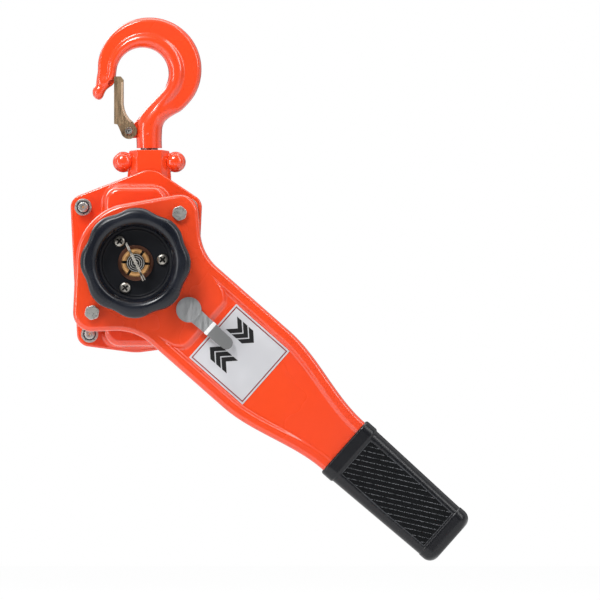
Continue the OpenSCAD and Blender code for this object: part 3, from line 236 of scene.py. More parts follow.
def cutWith(obj, cutter):
    m = obj.modifiers.new("cut", "BOOLEAN")
    m.operation, m.solver, m.object = "DIFFERENCE", "EXACT", cutter
    bpy.context.view_layer.update()
    bake(obj)
    bpy.data.objects.remove(cutter)


def cutRound(obj, cutters):
    # each cutter is a round bar along Y: (x, z, radius, front from, front to), about the hook's bowl
    a = around(96)
    for x, z, r, *fronts in cutters:
        ring = np.stack([x + r * np.cos(a), z + r * np.sin(a)], axis=-1)
        cutWith(obj, closedGrid("cutter", np.stack([upright(ring, -f) for f in fronts])))


def cutBoxes(obj, boxes):
    # boxes turned about Y: (x, z, long, wide, angle, front from, front to), about the drive axis
    for x, z, long, wide, angle, *fronts in boxes:
        c, s = math.cos(angle), math.sin(angle)
        ring = [(x + c * i * long / 2 - s * j * wide / 2, z + s * i * long / 2 + c * j * wide / 2)
                for i, j in ((-1, -1), (1, -1), (1, 1), (-1, 1))]
        rows = np.array([[fromDrive(q[0], f, q[1]) for q in ring] for f in fronts])
        cutWith(obj, turnFaces(closedGrid("cutter", rows)))


def turnedPiece(name, rows, at=(0, 0), n=96):
    # a closed profile of (radius, front) turned about an axis along Y at (x, z) from the drive axis
    a = around(n)
    pts = np.array([fromDrive(at[0] + r * np.cos(a), f, at[1] + r * np.sin(a)) for r, f in rows])
    hollow = rows[0][0] > 0.01
    return turnFaces(gridPiece(name, pts, closeRows=hollow, closeCols=True, capFirst=not hollow, capLast=not hollow))


def bodyOf(node):
    for body, members in frame["record"]["behaviour"]["bodies"].items():
        if node in members:
            return body


def standFor(obj, node):
    # the piece takes a CAD node's place, on the same body
    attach(obj, bodyOf(node))
    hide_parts(node)
    return obj


def roundedCopy(node, width):
    # a merged copy of a CAD node with its edges broken
    mesh = frame["nodes"][node].data.copy()
    bm = bmesh.new()
    bm.from_mesh(mesh)
    bmesh.ops.remove_doubles(bm, verts=bm.verts, dist=2e-6)
    bmesh.ops.dissolve_degenerate(bm, edges=bm.edges, dist=1e-6)
    bmesh.ops.dissolve_limit(bm, angle_limit=math.radians(0.6), verts=bm.verts, edges=bm.edges)
    bmesh.ops.recalc_face_normals(bm, faces=bm.faces)
    bm.to_mesh(mesh)
    bm.free()
    smoothFaces(mesh)
    obj = linked(node + "Finish", mesh)
    b = bevel(obj, width, 2, 28)
    b.harden_normals, b.miter_outer, b.use_clamp_overlap = False, "MITER_ARC", True
    w = obj.modifiers.new("normals", "WEIGHTED_NORMAL")
    w.keep_sharp, w.weight = False, 60
    return standFor(obj, node)


def softCopy(node, voxel=0.32, rounds=26):
    # a cast form: the CAD node remeshed evenly, with its edges eased
    obj = linked(node + "Finish", frame["nodes"][node].data.copy())
    r = obj.modifiers.new("even", "REMESH")
    r.mode, r.voxel_size, r.use_smooth_shade = "VOXEL", voxel * mm, True
    e = obj.modifiers.new("ease", "SMOOTH")
    e.factor, e.iterations = 0.5, rounds
    bake(obj)
    smoothFaces(obj.data)
    return standFor(obj, node)


def dress(obj, look):
    obj.data.materials.clear()
    obj.data.materials.append(looks[look])
    return obj


def settle(obj, look, body, node=None, angle=None):
    # shading, material, body, and the CAD node that the piece stands for
    if angle:
        splitNormals(obj, angle)
    dress(obj, look)
    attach(obj, body)
    if node:
        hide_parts(node)
    return obj


def faceCentres(obj, x=0, z=0):
    # in millimetres about an axis along Y, at (x, z) from the drive axis
    return np.array([face.center for face in obj.data.polygons]) / mm - fromDrive(x, 0, z) / mm


def secondLook(obj, look, chosen):
    obj.data.materials.append(looks[look])
    obj.data.polygons.foreach_set("material_index", chosen.astype(np.int32))


# ---------- shader helpers ----------

def feed(t, socket, value):
    # a link from another node's output, or a plain value
    if isinstance(value, bpy.types.NodeSocket):
        t.links.new(value, socket)
    elif socket.type == "RGBA":
        socket.default_value = (*value, 1)
    else:
        socket.default_value = value


def setInputs(t, n, **inputs):
    for label, value in inputs.items():
        feed(t, n.inputs[label.replace("_", " ")], value)
    return n


def node(t, kind, **inputs):
    return setInputs(t, t.nodes.new("ShaderNode" + kind), **inputs)


def mathNode(t, op, *values, clamp=False):
    n = node(t, "Math")
    n.operation, n.use_clamp = op, clamp
    for socket, value in zip(n.inputs, values):
        feed(t, socket, value)
    return n.outputs[0]


def vectorNode(t, op, *values):
    n = node(t, "VectorMath")
    n.operation = op
    for socket, value in zip(n.inputs, values):
        feed(t, socket, value)
    return n.outputs


def ramp(t, value, low, high, a=0.0, b=1.0):
    n = node(t, "MapRange", Value=value, From_Min=low, From_Max=high, To_Min=a, To_Max=b)
    n.clamp, n.interpolation_type = True, "SMOOTHSTEP"
    return n.outputs["Result"]


def mixColour(t, share, a, b):
    n = node(t, "Mix")
    n.data_type = "RGBA"
    return setInputs(t, n, Factor=share, A=a, B=b).outputs["Result"]


def objectPlace(t):
    return node(t, "TexCoord").outputs["Object"]


def blendShaders(t, output, share, first, second):
    mix = node(t, "MixShader")
    for socket, value in zip(mix.inputs, (share, first.outputs[0], second.outputs[0])):
        feed(t, socket, value)
    node(t, output, Surface=mix.outputs[0])


# ---------- camera, light and floor ----------

view = dict(centreX=135.3, centreZ=-197.0, width=522.0, distance=20000.0, planeY=-45.0)
# each lamp: place, aim and size in metres, then its power in watts
lamps = dict(
    keyLamp=((-0.6, -1.3, 1.15), (0.05, 0, -0.2), (0.6, 0.6), 23.5),
    fillLamp=((1.3, -1.3, 0.1), (0.1, 0, -0.2), (1.1, 1.1), 1.5),
    topLamp=((0.1, 0.1, 1.1), (0.1, 0, -0.2), (1.2, 0.8), 8.0),
    rightStrip=((1.15, -0.95, 0.75), (0.1, 0, -0.2), (0.35, 1.5), 9.0),
    leftStrip=((-1.15, -0.75, -0.25), (0.05, 0, -0.2), (0.25, 1.2), 7.0),
    rimLamp=((-0.85, 1.3, 0.85), (0.1, 0, -0.2), (1.0, 0.9), 11.0),
)
room = dict(sky=0.17, skyColour=(0.93, 0.95, 1.0), frontShare=0.07, behind=0.10)
ground = dict(z=-0.475, half=4.0, glow=1.03, share=0.95, colour=(0.9, 0.9, 0.9))


def makeCamera():
    cam = bpy.data.cameras.new("camera")
    cam.sensor_width = 36
    cam.lens = 36 * view["distance"] / view["width"]
    cam.clip_start, cam.clip_end = 1.0, 60
    obj = linked("camera", cam)
    obj.location = (view["centreX"] * mm, (view["planeY"] - view["distance"]) * mm, view["centreZ"] * mm)
    obj.rotation_euler = (math.pi / 2, 0, 0)
    bpy.context.scene.camera = obj


def makeLamps():
    for name, (at, aim, size, power) in lamps.items():
        data = bpy.data.lights.new(name, "AREA")
        data.shape, data.size, data.size_y = "RECTANGLE", *size
        data.energy = power
        obj = linked(name, data)
        obj.location = at
        obj.rotation_mode = "QUATERNION"
        obj.rotation_quaternion = Vector(np.array(aim, float) - np.array(at, float)).to_track_quat("-Z", "Y")


def makeWorld():
    world = bpy.data.worlds.new("studio")
    bpy.context.scene.world = world
    bpy.context.scene.view_settings.view_transform = "Standard"
    world.use_nodes = True
    t = world.node_tree
    t.nodes.clear()
    # the backdrop is white to the camera. In reflections it is white round the sides, dim in front and straight behind.
    path = node(t, "LightPath").outputs
    y = node(t, "SeparateXYZ", Vector=node(t, "TexCoord").outputs["Generated"]).outputs["Y"]
    front = node(t, "MapRange", Value=y, From_Min=-0.35, From_Max=0.15, To_Min=room["frontShare"], To_Max=1.0)
    seen = mathNode(t, "MAXIMUM", path["Is Camera Ray"], path["Is Transmission Ray"])
    sides = mathNode(t, "MULTIPLY", front.outputs[0], ramp(t, y, 0.5, 0.9, 0.85, room["behind"]))
    white = node(t, "Background", Color=(1, 1, 1), Strength=mathNode(t, "MAXIMUM", seen, sides))
    soft = node(t, "Background", Color=room["skyColour"], Strength=room["sky"])
    blendShaders(t, "OutputWorld", mathNode(t, "MAXIMUM", seen, path["Is Glossy Ray"]), soft, white)


def makeFloor():
    half = ground["half"]
    floor = gridPiece("floor", np.array([[(x, y, ground["z"]) for x in (half, -half)] for y in (-half, half)]))
    mat = bpy.data.materials.new("paleFloor")
    mat.use_nodes = True
    t = mat.node_tree
    t.nodes.clear()
    # reflections of the floor fade on the camera's side, as those of the room do
    path = node(t, "LightPath").outputs
    y = node(t, "SeparateXYZ", Vector=node(t, "NewGeometry").outputs["Position"]).outputs["Y"]
    near = mathNode(t, "MULTIPLY", ramp(t, y, -0.4, 0.3, 0.15, 1.0), ramp(t, y, 0.5, 1.6, 1.0, 0.2))
    seen = mathNode(t, "MAXIMUM", path["Is Camera Ray"], mathNode(t, "MULTIPLY", path["Is Glossy Ray"], near))
    plain = node(t, "BsdfDiffuse", Color=ground["colour"])
    glow = node(t, "Emission", Strength=ground["glow"])
    blendShaders(t, "OutputMaterial", mathNode(t, "MULTIPLY", seen, ground["share"]), plain, glow)
    floor.data.materials.append(mat)


# ---------- shader groups ----------

def buildPeel(g, given):
    # two noises on object coordinates: a fine one for the skin and a broad one for slow changes
    at = objectPlace(g)
    fine = node(g, "TexNoise", Vector=at, Scale=given["Grain per metre"], Detail=3.0)
    broad = node(g, "TexNoise", Vector=at, Scale=given["Cloud per metre"], Detail=2.0)
    return dict(Grain=fine.outputs["Fac"], Cloud=broad.outputs["Fac"])


def buildWear(g, given):
    # convex edges, broken up by noise, as a mask
    noise = node(g, "TexNoise", Vector=objectPlace(g), Scale=260.0, Detail=4.0)
    edge = mathNode(g, "SUBTRACT", node(g, "NewGeometry").outputs["Pointiness"], 0.515)
    edge = mathNode(g, "MULTIPLY", edge, 14.0, clamp=True)
    patch = mathNode(g, "SUBTRACT", noise.outputs["Fac"], 0.45)
    patch = mathNode(g, "MULTIPLY", patch, 6.0, clamp=True)
    mask = mathNode(g, "MULTIPLY", edge, patch)
    return dict(Mask=mathNode(g, "MULTIPLY", mask, given["Amount"], clamp=True))


def buildRings(g, given):
    # turned marks: waves in the distance from an axis along Y through the given centre
    offset = vectorNode(g, "SUBTRACT", objectPlace(g), given["Centre"])[0]
    far = vectorNode(g, "LENGTH", vectorNode(g, "MULTIPLY", offset, (1, 0, 1))[0])["Value"]
    turns = mathNode(g, "MULTIPLY", far, given["Rings per metre"])
    wave = mathNode(g, "SINE", mathNode(g, "MULTIPLY", turns, 2 * math.pi))
    return dict(Rings=mathNode(g, "MULTIPLY_ADD", wave, 0.5, 0.5))


def buildBrushed(g, given):
    # noise drawn out along one direction, as brushing leaves it
    stretched = node(g, "Mapping", Vector=objectPlace(g), Scale=given["Stretch"]).outputs[0]
    return dict(Streaks=node(g, "TexNoise", Vector=stretched, Scale=1.0, Detail=3.0).outputs["Fac"])


groups = {}


def makeGroups():
    recipes = dict(
        peel=("surfaceGrain", {"Grain per metre": 700.0, "Cloud per metre": 9.0}, buildPeel),
        wear=("edgeWear", {"Amount": 1.0}, buildWear),
        rings=("turnedRings", {"Centre": (0, 0, 0), "Rings per metre": 900.0}, buildRings),
        brushed=("brushedStreaks", {"Stretch": (900, 900, 60)}, buildBrushed),
    )
    for key, (name, inputs, build) in recipes.items():
        g = bpy.data.node_groups.new(name, "ShaderNodeTree")
        for label, value in inputs.items():
            kind = "NodeSocketVector" if isinstance(value, tuple) else "NodeSocketFloat"
            g.interface.new_socket(label, in_out="INPUT", socket_type=kind).default_value = value
        results = build(g, g.nodes.new("NodeGroupInput").outputs)
        for label in results:
            g.interface.new_socket(label, in_out="OUTPUT", socket_type="NodeSocketFloat")
        end = g.nodes.new("NodeGroupOutput")
        for label, value in results.items():
            g.links.new(value, end.inputs[label])
        groups[key] = g


def place(t, key, **values):
    n = t.nodes.new("ShaderNodeGroup")
    n.node_tree = groups[key]
    return setInputs(t, n, **values).outputs


# ---------- materials ----------

paintLook = dict(colour=(0.90, 0.067, 0.011), deep=(0.87, 0.059, 0.010), bare=(0.42, 0.30, 0.26), rough=0.26, coat=1.0)
metalLook = dict(
    zinc=dict(colour=(0.60, 0.59, 0.56), dark=(0.42, 0.41, 0.39), rough=0.32, metal=0.8),
    oiledSteel=dict(colour=(0.17, 0.165, 0.16), dark=(0.07, 0.065, 0.06), rough=0.36),
    selectorGrey=dict(colour=(0.54, 0.55, 0.555), dark=(0.42, 0.425, 0.43), rough=0.42),
    latchSheet=dict(colour=(0.47, 0.33, 0.20), dark=(0.27, 0.18, 0.11), rough=0.42),
    # the fold's look is lighter and less metallic than the sheet: a painted highlight along the latch's bend
    latchFoldHighlight=dict(colour=(0.52, 0.38, 0.26), dark=(0.40, 0.28, 0.18), rough=0.34, metal=0.2),
    bronzeWasher=dict(colour=(0.20, 0.095, 0.065), dark=(0.05, 0.022, 0.016), rough=0.34),
    brassNut=dict(colour=(0.60, 0.33, 0.13), dark=(0.34, 0.17, 0.06), rough=0.34, metal=0.45),
    screwSteel=dict(colour=(0.50, 0.475, 0.43), dark=(0.22, 0.20, 0.17), rough=0.36),
    lining=dict(colour=(0.10, 0.05, 0.03), dark=(0.05, 0.03, 0.02), rough=0.8, metal=0.0),
)
# name, colour, roughness, specular level, grain and clouds per metre, and the range of the roughness
dullLook = dict(
    # the cup's look below is darker and duller than the moulding: painted shade for the deep cup
    cupShadeLook=("wheelCupPaintedShade", (0.004, 0.005, 0.008), 0.5, 0.22, 1900.0, 45.0, (0.46, 0.6)),
    # the look below is near-black and dull: painted shade for screw crosses, nut slots and the shaft's grooves
    recessShade=("recessPaintedShade", (0.010, 0.009, 0.008), 0.7, 0.2, 1900.0, 90.0, (0.6, 0.8)),
    nylon=("nylonRing", (0.010, 0.014, 0.022), 0.4, 0.5, 1200.0, 90.0, (0.34, 0.5)),
)
printLook = dict(   # colour, roughness, metal
    labelSilver=((0.66, 0.665, 0.69), 0.42, 0.15), labelRed=((0.23, 0.018, 0.022), 0.4, 0.0),
    labelBlack=((0.006, 0.006, 0.007), 0.38, 0.0), selectorWhite=((0.86, 0.86, 0.85), 0.4, 0.0),
    selectorDark=((0.20, 0.205, 0.205), 0.42, 0.2),
)
rubber = dict(
    # ribs is a lighter grey: a painted highlight on the raised ribs
    rail=(0.0045, 0.005, 0.0075), field=(0.004, 0.0045, 0.0055), ribs=(0.14, 0.145, 0.155),
    # border is a lighter grey: a painted highlight along the sunk field's edge
    border=(0.10, 0.105, 0.115), rough=(0.31, 0.60), shine=(0.48, 0.12), dots=1150.0,
)
looks = {}


def shader(key, name, colour, rough, metal=0.0, spec=0.5):
    mat = bpy.data.materials.new(name)
    mat.use_nodes = True
    t = mat.node_tree
    b = t.nodes["Principled BSDF"]
    setInputs(t, b, Base_Color=colour, Roughness=rough, Metallic=metal, Coat_Weight=0.0, Coat_Roughness=0.05,
              Specular_IOR_Level=spec)
    looks[key] = mat
    return t, b


def bump(t, b, height, depth, strength):
    n = node(t, "Bump", Strength=strength, Distance=depth, Height=height)
    t.links.new(n.outputs["Normal"], b.inputs["Normal"])


def cloudy(t, peel, first, second):
    return mixColour(t, ramp(t, peel["Cloud"], 0.35, 0.65), first, second)


def makePaint(key, name, wearAmount):
    p = paintLook
    t, b = shader(key, name, p["colour"], p["rough"])
    peel = place(t, "peel", Grain_per_metre=620.0, Cloud_per_metre=14.0)
    wear = place(t, "wear", Amount=wearAmount)
    tone = mixColour(t, wear["Mask"], cloudy(t, peel, p["colour"], p["deep"]), p["bare"])
    rough = ramp(t, peel["Cloud"], 0.3, 0.7, p["rough"] - 0.05, p["rough"] + 0.08)
    setInputs(t, b, Base_Color=tone, Roughness=rough, Coat_Weight=p["coat"], Coat_Roughness=0.035)
    bump(t, b, peel["Grain"], 0.00012, 0.35)


def makeMetal(key, grain, ringsAbout=None):
    # grain is how densely the brushing's noise lies along each axis. Turned metal adds rings about an axis.
    p = metalLook[key]
    t, b = shader(key + "Turned" if ringsAbout else key, key, p["colour"], p["rough"], metal=p.get("metal", 1.0))
    peel = place(t, "peel", Grain_per_metre=1500.0, Cloud_per_metre=60.0)
    height = streaks = place(t, "brushed", Stretch=grain)["Streaks"]
    setInputs(t, b, Base_Color=mixColour(t, ramp(t, peel["Cloud"], 0.45, 0.75), p["colour"], p["dark"]),
              Roughness=ramp(t, streaks, 0.3, 0.7, p["rough"] - 0.08, p["rough"] + 0.12))
    if ringsAbout:
        turned = place(t, "rings", Centre=ringsAbout, Rings_per_metre=1100.0)["Rings"]
        height = mathNode(t, "MULTIPLY_ADD", streaks, 0.4, turned)
    bump(t, b, height, 0.00008, 0.5 if grain[2] < 100 or ringsAbout else 0.2)


def makeWheelLook():
    # the handwheel's moulding: satin, with a faint grain
    t, b = shader("wheel", "wheelMoulding", (0.006, 0.0075, 0.013), 0.3)
    peel = place(t, "peel", Grain_per_metre=1900.0, Cloud_per_metre=30.0)
    setInputs(t, b, Base_Color=cloudy(t, peel, (0.005, 0.0065, 0.011), (0.008, 0.010, 0.017)),
              Roughness=ramp(t, peel["Cloud"], 0.3, 0.7, 0.22, 0.34))
    bump(t, b, peel["Grain"], 0.00010, 0.25)


def makeRubber():
    # the grip: smooth on the rails, stippled in the sunk field, with a painted highlight on the ribs
    p = rubber
    t, b = shader("grip", "gripRubber", (0.006, 0.007, 0.010), 0.34)
    marks = []
    for name in ("field", "rib"):
        n = node(t, "Attribute")
        n.attribute_name = name
        marks.append(n.outputs["Fac"])
    field, rib = marks
    peel = place(t, "peel", Grain_per_metre=1500.0, Cloud_per_metre=40.0)
    dots = node(t, "TexVoronoi", Vector=objectPlace(t), Scale=p["dots"])
    fine = mathNode(t, "MULTIPLY", peel["Grain"], 0.008)
    bump(t, b, mathNode(t, "ADD", fine, mathNode(t, "MULTIPLY", dots.outputs["Distance"], field)), 0.0005, 0.55)
    # the ribs are painted a lighter grey in broken dashes: a painted highlight standing for their glints
    broken = ramp(t, place(t, "peel", Grain_per_metre=420.0, Cloud_per_metre=1300.0)["Cloud"], 0.40, 0.58)
    ribHighlight = mathNode(t, "MULTIPLY", ramp(t, rib, 0.7, 1.0), broken)
    tone = mixColour(t, ribHighlight, mixColour(t, field, p["rail"], p["field"]), p["ribs"])
    # a thin light line where the field meets the rails: a painted highlight along the field's edge
    border = mathNode(t, "MULTIPLY", field, mathNode(t, "SUBTRACT", 1.0, field))
    tone = mixColour(t, ramp(t, border, 0.17, 0.25, 0.0, 0.45), tone, p["border"])
    setInputs(t, b, Base_Color=tone, Roughness=ramp(t, field, 0.0, 1.0, *p["rough"]),
              Specular_IOR_Level=ramp(t, field, 0.0, 1.0, *p["shine"]))


def makeLooks():
    makeGroups()
    makePaint("paint", "orangeEnamel", 0.08)
    makePaint("castPaint", "castEnamel", 0.0)
    even, drawn = (500, 500, 500), (700, 700, 50)
    for key in metalLook:
        makeMetal(key, even if key in ("zinc", "screwSteel", "brassNut") else drawn)
    for key in ("oiledSteel", "bronzeWasher", "brassNut", "zinc"):
        makeMetal(key, drawn, tuple(fromDrive(0, 0, 0)))
    makeWheelLook()
    for key, (name, colour, rough, spec, grain, cloud, span) in dullLook.items():
        t, b = shader(key, name, colour, rough, spec=spec)
        peel = place(t, "peel", Grain_per_metre=grain, Cloud_per_metre=cloud)
        setInputs(t, b, Roughness=ramp(t, peel["Cloud"], 0.3, 0.7, *span))
    makeRubber()
    for key, (colour, rough, metal) in printLook.items():
        t, b = shader(key, key, colour, rough, metal=metal)
        peel = place(t, "peel", Grain_per_metre=900.0, Cloud_per_metre=22.0)
        setInputs(t, b, Base_Color=cloudy(t, peel, colour, tuple(0.88 * c for c in colour)))
        bump(t, b, peel["Grain"], 0.00005, 0.3)
    print("looks:", len(bpy.data.materials))


# ---------- casing ----------

casing = dict(
    corners=[(46.1, 48.7, 11), (-46.1, 48.7, 11), (40.5, -61.8, 11), (-40.5, -61.8, 11)],
    bulges=[(11.3, 61, 20), (0, -32.9, 45)],
    domeR=47.0, lobeHalf=28.0, lobeTop=67.0, lobeLow=73.0, lobeCorner=14.0,
    blend=3.5, around=540, sheet=2.4, rim=1.7, foot=3.2, crown=5.5, frontFace=46.0, rearFace=48.0,
    neckR=38.5, neckEnd=51.2, spoutR=34.5, spoutEnd=57.0, boreR=31.5,
)


def hullRadius(circles, inset, theta):
    # distance from the middle to the edge of a hull of circles: the least of every tangent line's distance
    phi = around(1080)
    n = np.stack([np.cos(phi), np.sin(phi)])
    reach = np.max([c[0] * n[0] + c[1] * n[1] + c[2] for c in circles], axis=0) - inset
    lean = np.cos(phi[:, None] - theta[None, :])
    return np.where(lean > 0.02, reach[:, None] / np.maximum(lean, 0.02), 1e9).min(axis=0)


def bodyRadius(inset, theta):
    return hullRadius(casing["corners"] + casing["bulges"], inset, theta)


def domeRadius(inset, theta):
    # a circle and an upright rounded block, joined with a soft corner
    c = casing
    k, soft = c["lobeCorner"], c["blend"]
    corners = [(s * (c["lobeHalf"] - k), z, k) for s in (-1, 1) for z in (c["lobeTop"] - k, k - c["lobeLow"])]
    block = hullRadius(corners, inset, theta)
    r = soft * np.logaddexp(block / soft, np.full_like(theta, c["domeR"] - inset) / soft)
    if inset < 0:
        # the dome's foot stays inside the flange's rounded edge
        r = np.minimum(r, bodyRadius(c["rim"] + 0.6, theta))
    return r


def casingRows(rows, side=1):
    # each row: a shape, its inset or radius, and its distance towards the front, or the rear where side is -1
    theta = around(casing["around"])
    shapes = dict(body=bodyRadius, dome=domeRadius, disc=lambda r, theta: np.full_like(theta, r))
    pts = []
    for kind, inset, front in rows:
        r = shapes[kind](inset, theta)
        pts.append(fromDrive(r * np.cos(theta), side * front, r * np.sin(theta)))
    return np.array(pts)


def outerRows(face):
    # the flange with its rounded rim, the dome's hollow foot, its wall and its rounded crown
    c = casing
    back, out = layout["plateOut"], layout["flangeOut"]
    rim = fillet(0, out - c["rim"], c["rim"], out, 6, "y")
    foot = fillet(-c["foot"], out, 0, out + c["foot"], 6, "x")
    crown = fillet(0.5, face - c["crown"], c["crown"], face, 8, "y")
    return [("body", 0.0, back), ("body", 0.0, 21.4), *[("body", i, f) for i, f in rim], ("body", c["rim"] + 0.4, out),
            ("dome", -c["foot"] - 0.4, out), *[("dome", i, f) for i, f in foot], ("dome", 0.1, 30.0),
            *[("dome", i, f) for i, f in crown], ("dome", c["crown"] + 0.5, face)]


def innerRows(face):
    s, roof = casing["sheet"], face - casing["sheet"]
    return [("dome", casing["crown"] + s, roof), ("dome", s + 1.2, roof - 1.5), ("dome", s, roof - 5),
            ("dome", s, 26.0), ("dome", s, layout["plateOut"])]


def makeCovers():
    c = casing
    face, s, r, q, b = c["frontFace"], c["sheet"], c["neckR"], c["spoutR"], c["boreR"]
    step, end = c["neckEnd"], c["spoutEnd"]
    neck = [(r + 3, face)] + [(r + i, f) for i, f in fillet(2.4, face, 0, face + 2.4, 5, "x")]
    neck += [(r, step - 0.8), (r - 0.5, step - 0.2), (r - 1.3, step), (q, step), (q, end - 0.6), (q - 0.5, end),
             (b + 0.5, end), (b, end - 0.5), (b, face - s), (36.0, face - s)]
    rows = outerRows(face) + [("disc", *row) for row in neck] + innerRows(face)
    front = gridPiece("brakeCoverFinish", casingRows(rows), closeRows=True, closeCols=True)
    face = c["rearFace"]
    rows = [("disc", 4.0, face - s)] + innerRows(face) + outerRows(face) + [("disc", 4.0, face)]
    rear = closedGrid("gearCoverFinish", casingRows(rows, -1))
    for obj, node in ((front, "brake_cover"), (rear, "gear_cover")):
        settle(turnFaces(obj), "paint", "frame", node, 32)
    print("covers done")


# ---------- lever ----------

lever = dict(
    headR=52.5, boltV=57.5, cornerR=16.5, shoulderNormal=46.3, shoulderR=45.0, armHalf=44.0, neckHalf=27.5,
    narrowFrom=140.0, narrowTo=240.0, endU=243.0, edgeRound=4.2, beadWidth=8.5, sink=3.0, slope=4.0, sheet=2.0,
    seam=0.1, frontBore=28.3, rearBore=34.8, selectorU=61.5, selectorBore=6.3, spigotBore=4.05,
)


def leverUpperEdge():
    # back arc, line to the bolt's corner arc, shoulder line, hollow fillet and the narrowing arm
    p = lever
    lean = math.degrees(math.asin((p["headR"] - p["cornerR"]) / p["boltV"]))

    def arc(c, r, a0, a1, n):
        a = np.radians(np.linspace(a0, a1, n))
        return np.stack([c[0] + r * np.cos(a), c[1] + r * np.sin(a)], axis=-1)

    sn = p["shoulderNormal"]
    n = np.array([math.cos(math.radians(sn)), math.sin(math.radians(sn))])
    lineAt = n @ np.array([0, p["boltV"]]) + p["cornerR"]
    cv = p["armHalf"] + p["shoulderR"]
    cu = (lineAt + p["shoulderR"] - n[1] * cv) / n[0]
    u = np.linspace(p["narrowFrom"], p["narrowTo"], 60)
    narrowing = smooth((u - p["narrowFrom"]) / (p["narrowTo"] - p["narrowFrom"]))
    half = p["armHalf"] + (p["neckHalf"] - p["armHalf"]) * narrowing
    return np.concatenate([
        arc((0, 0), p["headR"], 180, 180 - lean, 40), arc((0, p["boltV"]), p["cornerR"], 180 - lean, sn, 40),
        arc((cu, cv), p["shoulderR"], 180 + sn, 270, 30), np.stack([u, half], axis=-1),
        [[p["endU"] + 20, p["neckHalf"]]]])


def mirrored(upper):
    return np.concatenate([upper, upper[::-1] * [1, -1]])


def panelLine():
    # the sunk panel: it starts round the selector and follows the arm's edges, and runs out under the grip
    p = lever
    edge = leverUpperEdge()
    u = np.linspace(66, p["endU"] + 15, 60)
    half = np.interp(u, edge[:, 0], edge[:, 1]) - p["beadWidth"]
    start = np.array([[79.5, 0.0], [79.5, 22.0], [78.6, 25.0], [76.4, 27.8], [72.0, 31.0], [53.5, 35.5]])
    return mirrored(np.concatenate([start, np.stack([u, half], axis=-1)]))


def leverSheet(name, faceAt, midAt, panel):
    # front = face - drop at the rim - sink in the panel, on a grid of lengths along the lever by shares of its half width
    p = lever
    edge = leverUpperEdge()
    u = np.concatenate([24 * np.linspace(0, 1, 46) ** 2.0 - p["headR"], np.linspace(24 - p["headR"], p["endU"], 215)[1:]])
    s = np.linspace(-1, 1, 141)
    t = np.sign(s) * (1 - (1 - np.abs(s)) ** 1.6)
    half = np.interp(u, edge[:, 0], edge[:, 1])
    half[0] = 0
    uu = np.repeat(u[:, None], len(t), axis=1)
    vv = half[:, None] * t[None, :]
    line = np.concatenate([edge, edge[::-1][:-1] * [1, -1]])
    h = -roundDrop(p["edgeRound"], toPolyline(uu, vv, line))
    if panel:
        poly = panelLine()
        inside = np.where(insidePolygon(uu, vv, poly), toPolyline(uu, vv, poly), 0)
        h -= p["sink"] * smooth(inside / p["slope"]) * (0.35 + 0.65 * (1 - smooth((uu - 165) / 70)))
    side = 1 if faceAt > midAt else -1
    rimAt = faceAt - side * p["edgeRound"]
    walls = {1: [], -1: []}
    for share in (1.0, 0.66, 0.33):
        f = midAt + (rimAt - midAt) * (1 - share)
        for way, wall in walls.items():
            wall.append(fromLever(u, way * half, f))
    pts = np.concatenate([np.stack(walls[-1], axis=1), fromLever(uu, vv, faceAt + side * h),
                          np.stack(walls[1][::-1], axis=1)], axis=1)
    obj = turnFaces(gridPiece(name, pts), (0, -side, 0))
    m = obj.modifiers.new("wall", "SOLIDIFY")
    m.thickness, m.offset, m.use_even_offset = p["sheet"] * mm, -1, True
    bake(obj)
    return obj


def makeLever():
    p, at = lever, layout
    front = leverSheet("leverFrontFinish", at["leverFront"], at["leverMid"] + p["seam"], True)
    rear = leverSheet("leverRearFinish", at["leverBack"], at["leverMid"] - p["seam"], False)
    sides = ((front, "lever_front_shell", p["frontBore"], p["selectorBore"], (60, 90)),
             (rear, "lever_rear_shell", p["rearBore"], p["spigotBore"], (40, 64)))
    for obj, node, bore, hole, span in sides:
        spots = [alongLever(u, 0) for u in (0, p["selectorU"])]
        cutRound(obj, [(at["driveX"] + x, at["driveZ"] + z, r, *span) for (x, z), r in zip(spots, (bore, hole))])
        settle(obj, "paint", "lever", node, 40)
    print("lever done")


# ---------- grip ----------

grip = dict(
    fromU=241.0, toU=366.0, collarHalf=30.0, bodyHalf=28.8, endHalf=26.6, collarT=13.0, bodyT=12.3,
    startRound=2.2, corner=9.0, cornerT=7.0, ring=9.0, panelFrom=254.6, panelTo=350.8, panelHalf=19.8,
    panelSoft=1.3, panelSink=1.1, ribStep=4.4, ribLean=28.4, ribUp=0.6, facePoints=110, sidePoints=16,
)


def gripRing(half, thick):
    # each ring has two dense flat faces and two round sides. A face is run from -1 to 1 and a side from 0 to 1.
    p = grip
    flatRun, sideRun = np.linspace(-1, 1, p["facePoints"]), np.linspace(0, 1, p["sidePoints"] + 2)[1:-1]
    onFace = np.tile(np.r_[np.ones(len(flatRun), bool), np.zeros(len(sideRun), bool)], 2)[None, :]
    run = np.r_[flatRun, sideRun, -flatRun, sideRun][None, :]
    side = np.repeat([1.0, -1.0], len(flatRun) + len(sideRun))[None, :]
    h, t = half[:, None], thick[:, None]
    r = np.minimum(p["ring"], np.minimum(h * 0.95, t * 0.97))
    flat = h - r
    # a side goes from its face round to the other: a quarter turn, a straight stretch and a quarter turn
    straight, turned = 2 * (t - r), math.pi * r
    s = run * (turned + straight)
    first = np.clip(s, 0, turned / 2) / r
    last = np.clip(s - turned / 2 - straight, 0, turned / 2) / r
    vOff = r * np.sin(first) - r * (1 - np.cos(last))
    yOff = (t - r) + r * np.cos(first) - np.clip(s - turned / 2, 0, straight) - r * np.sin(last)
    return np.where(onFace, flat * run, side * (flat + vOff)), np.where(onFace, side * t, side * yOff), onFace


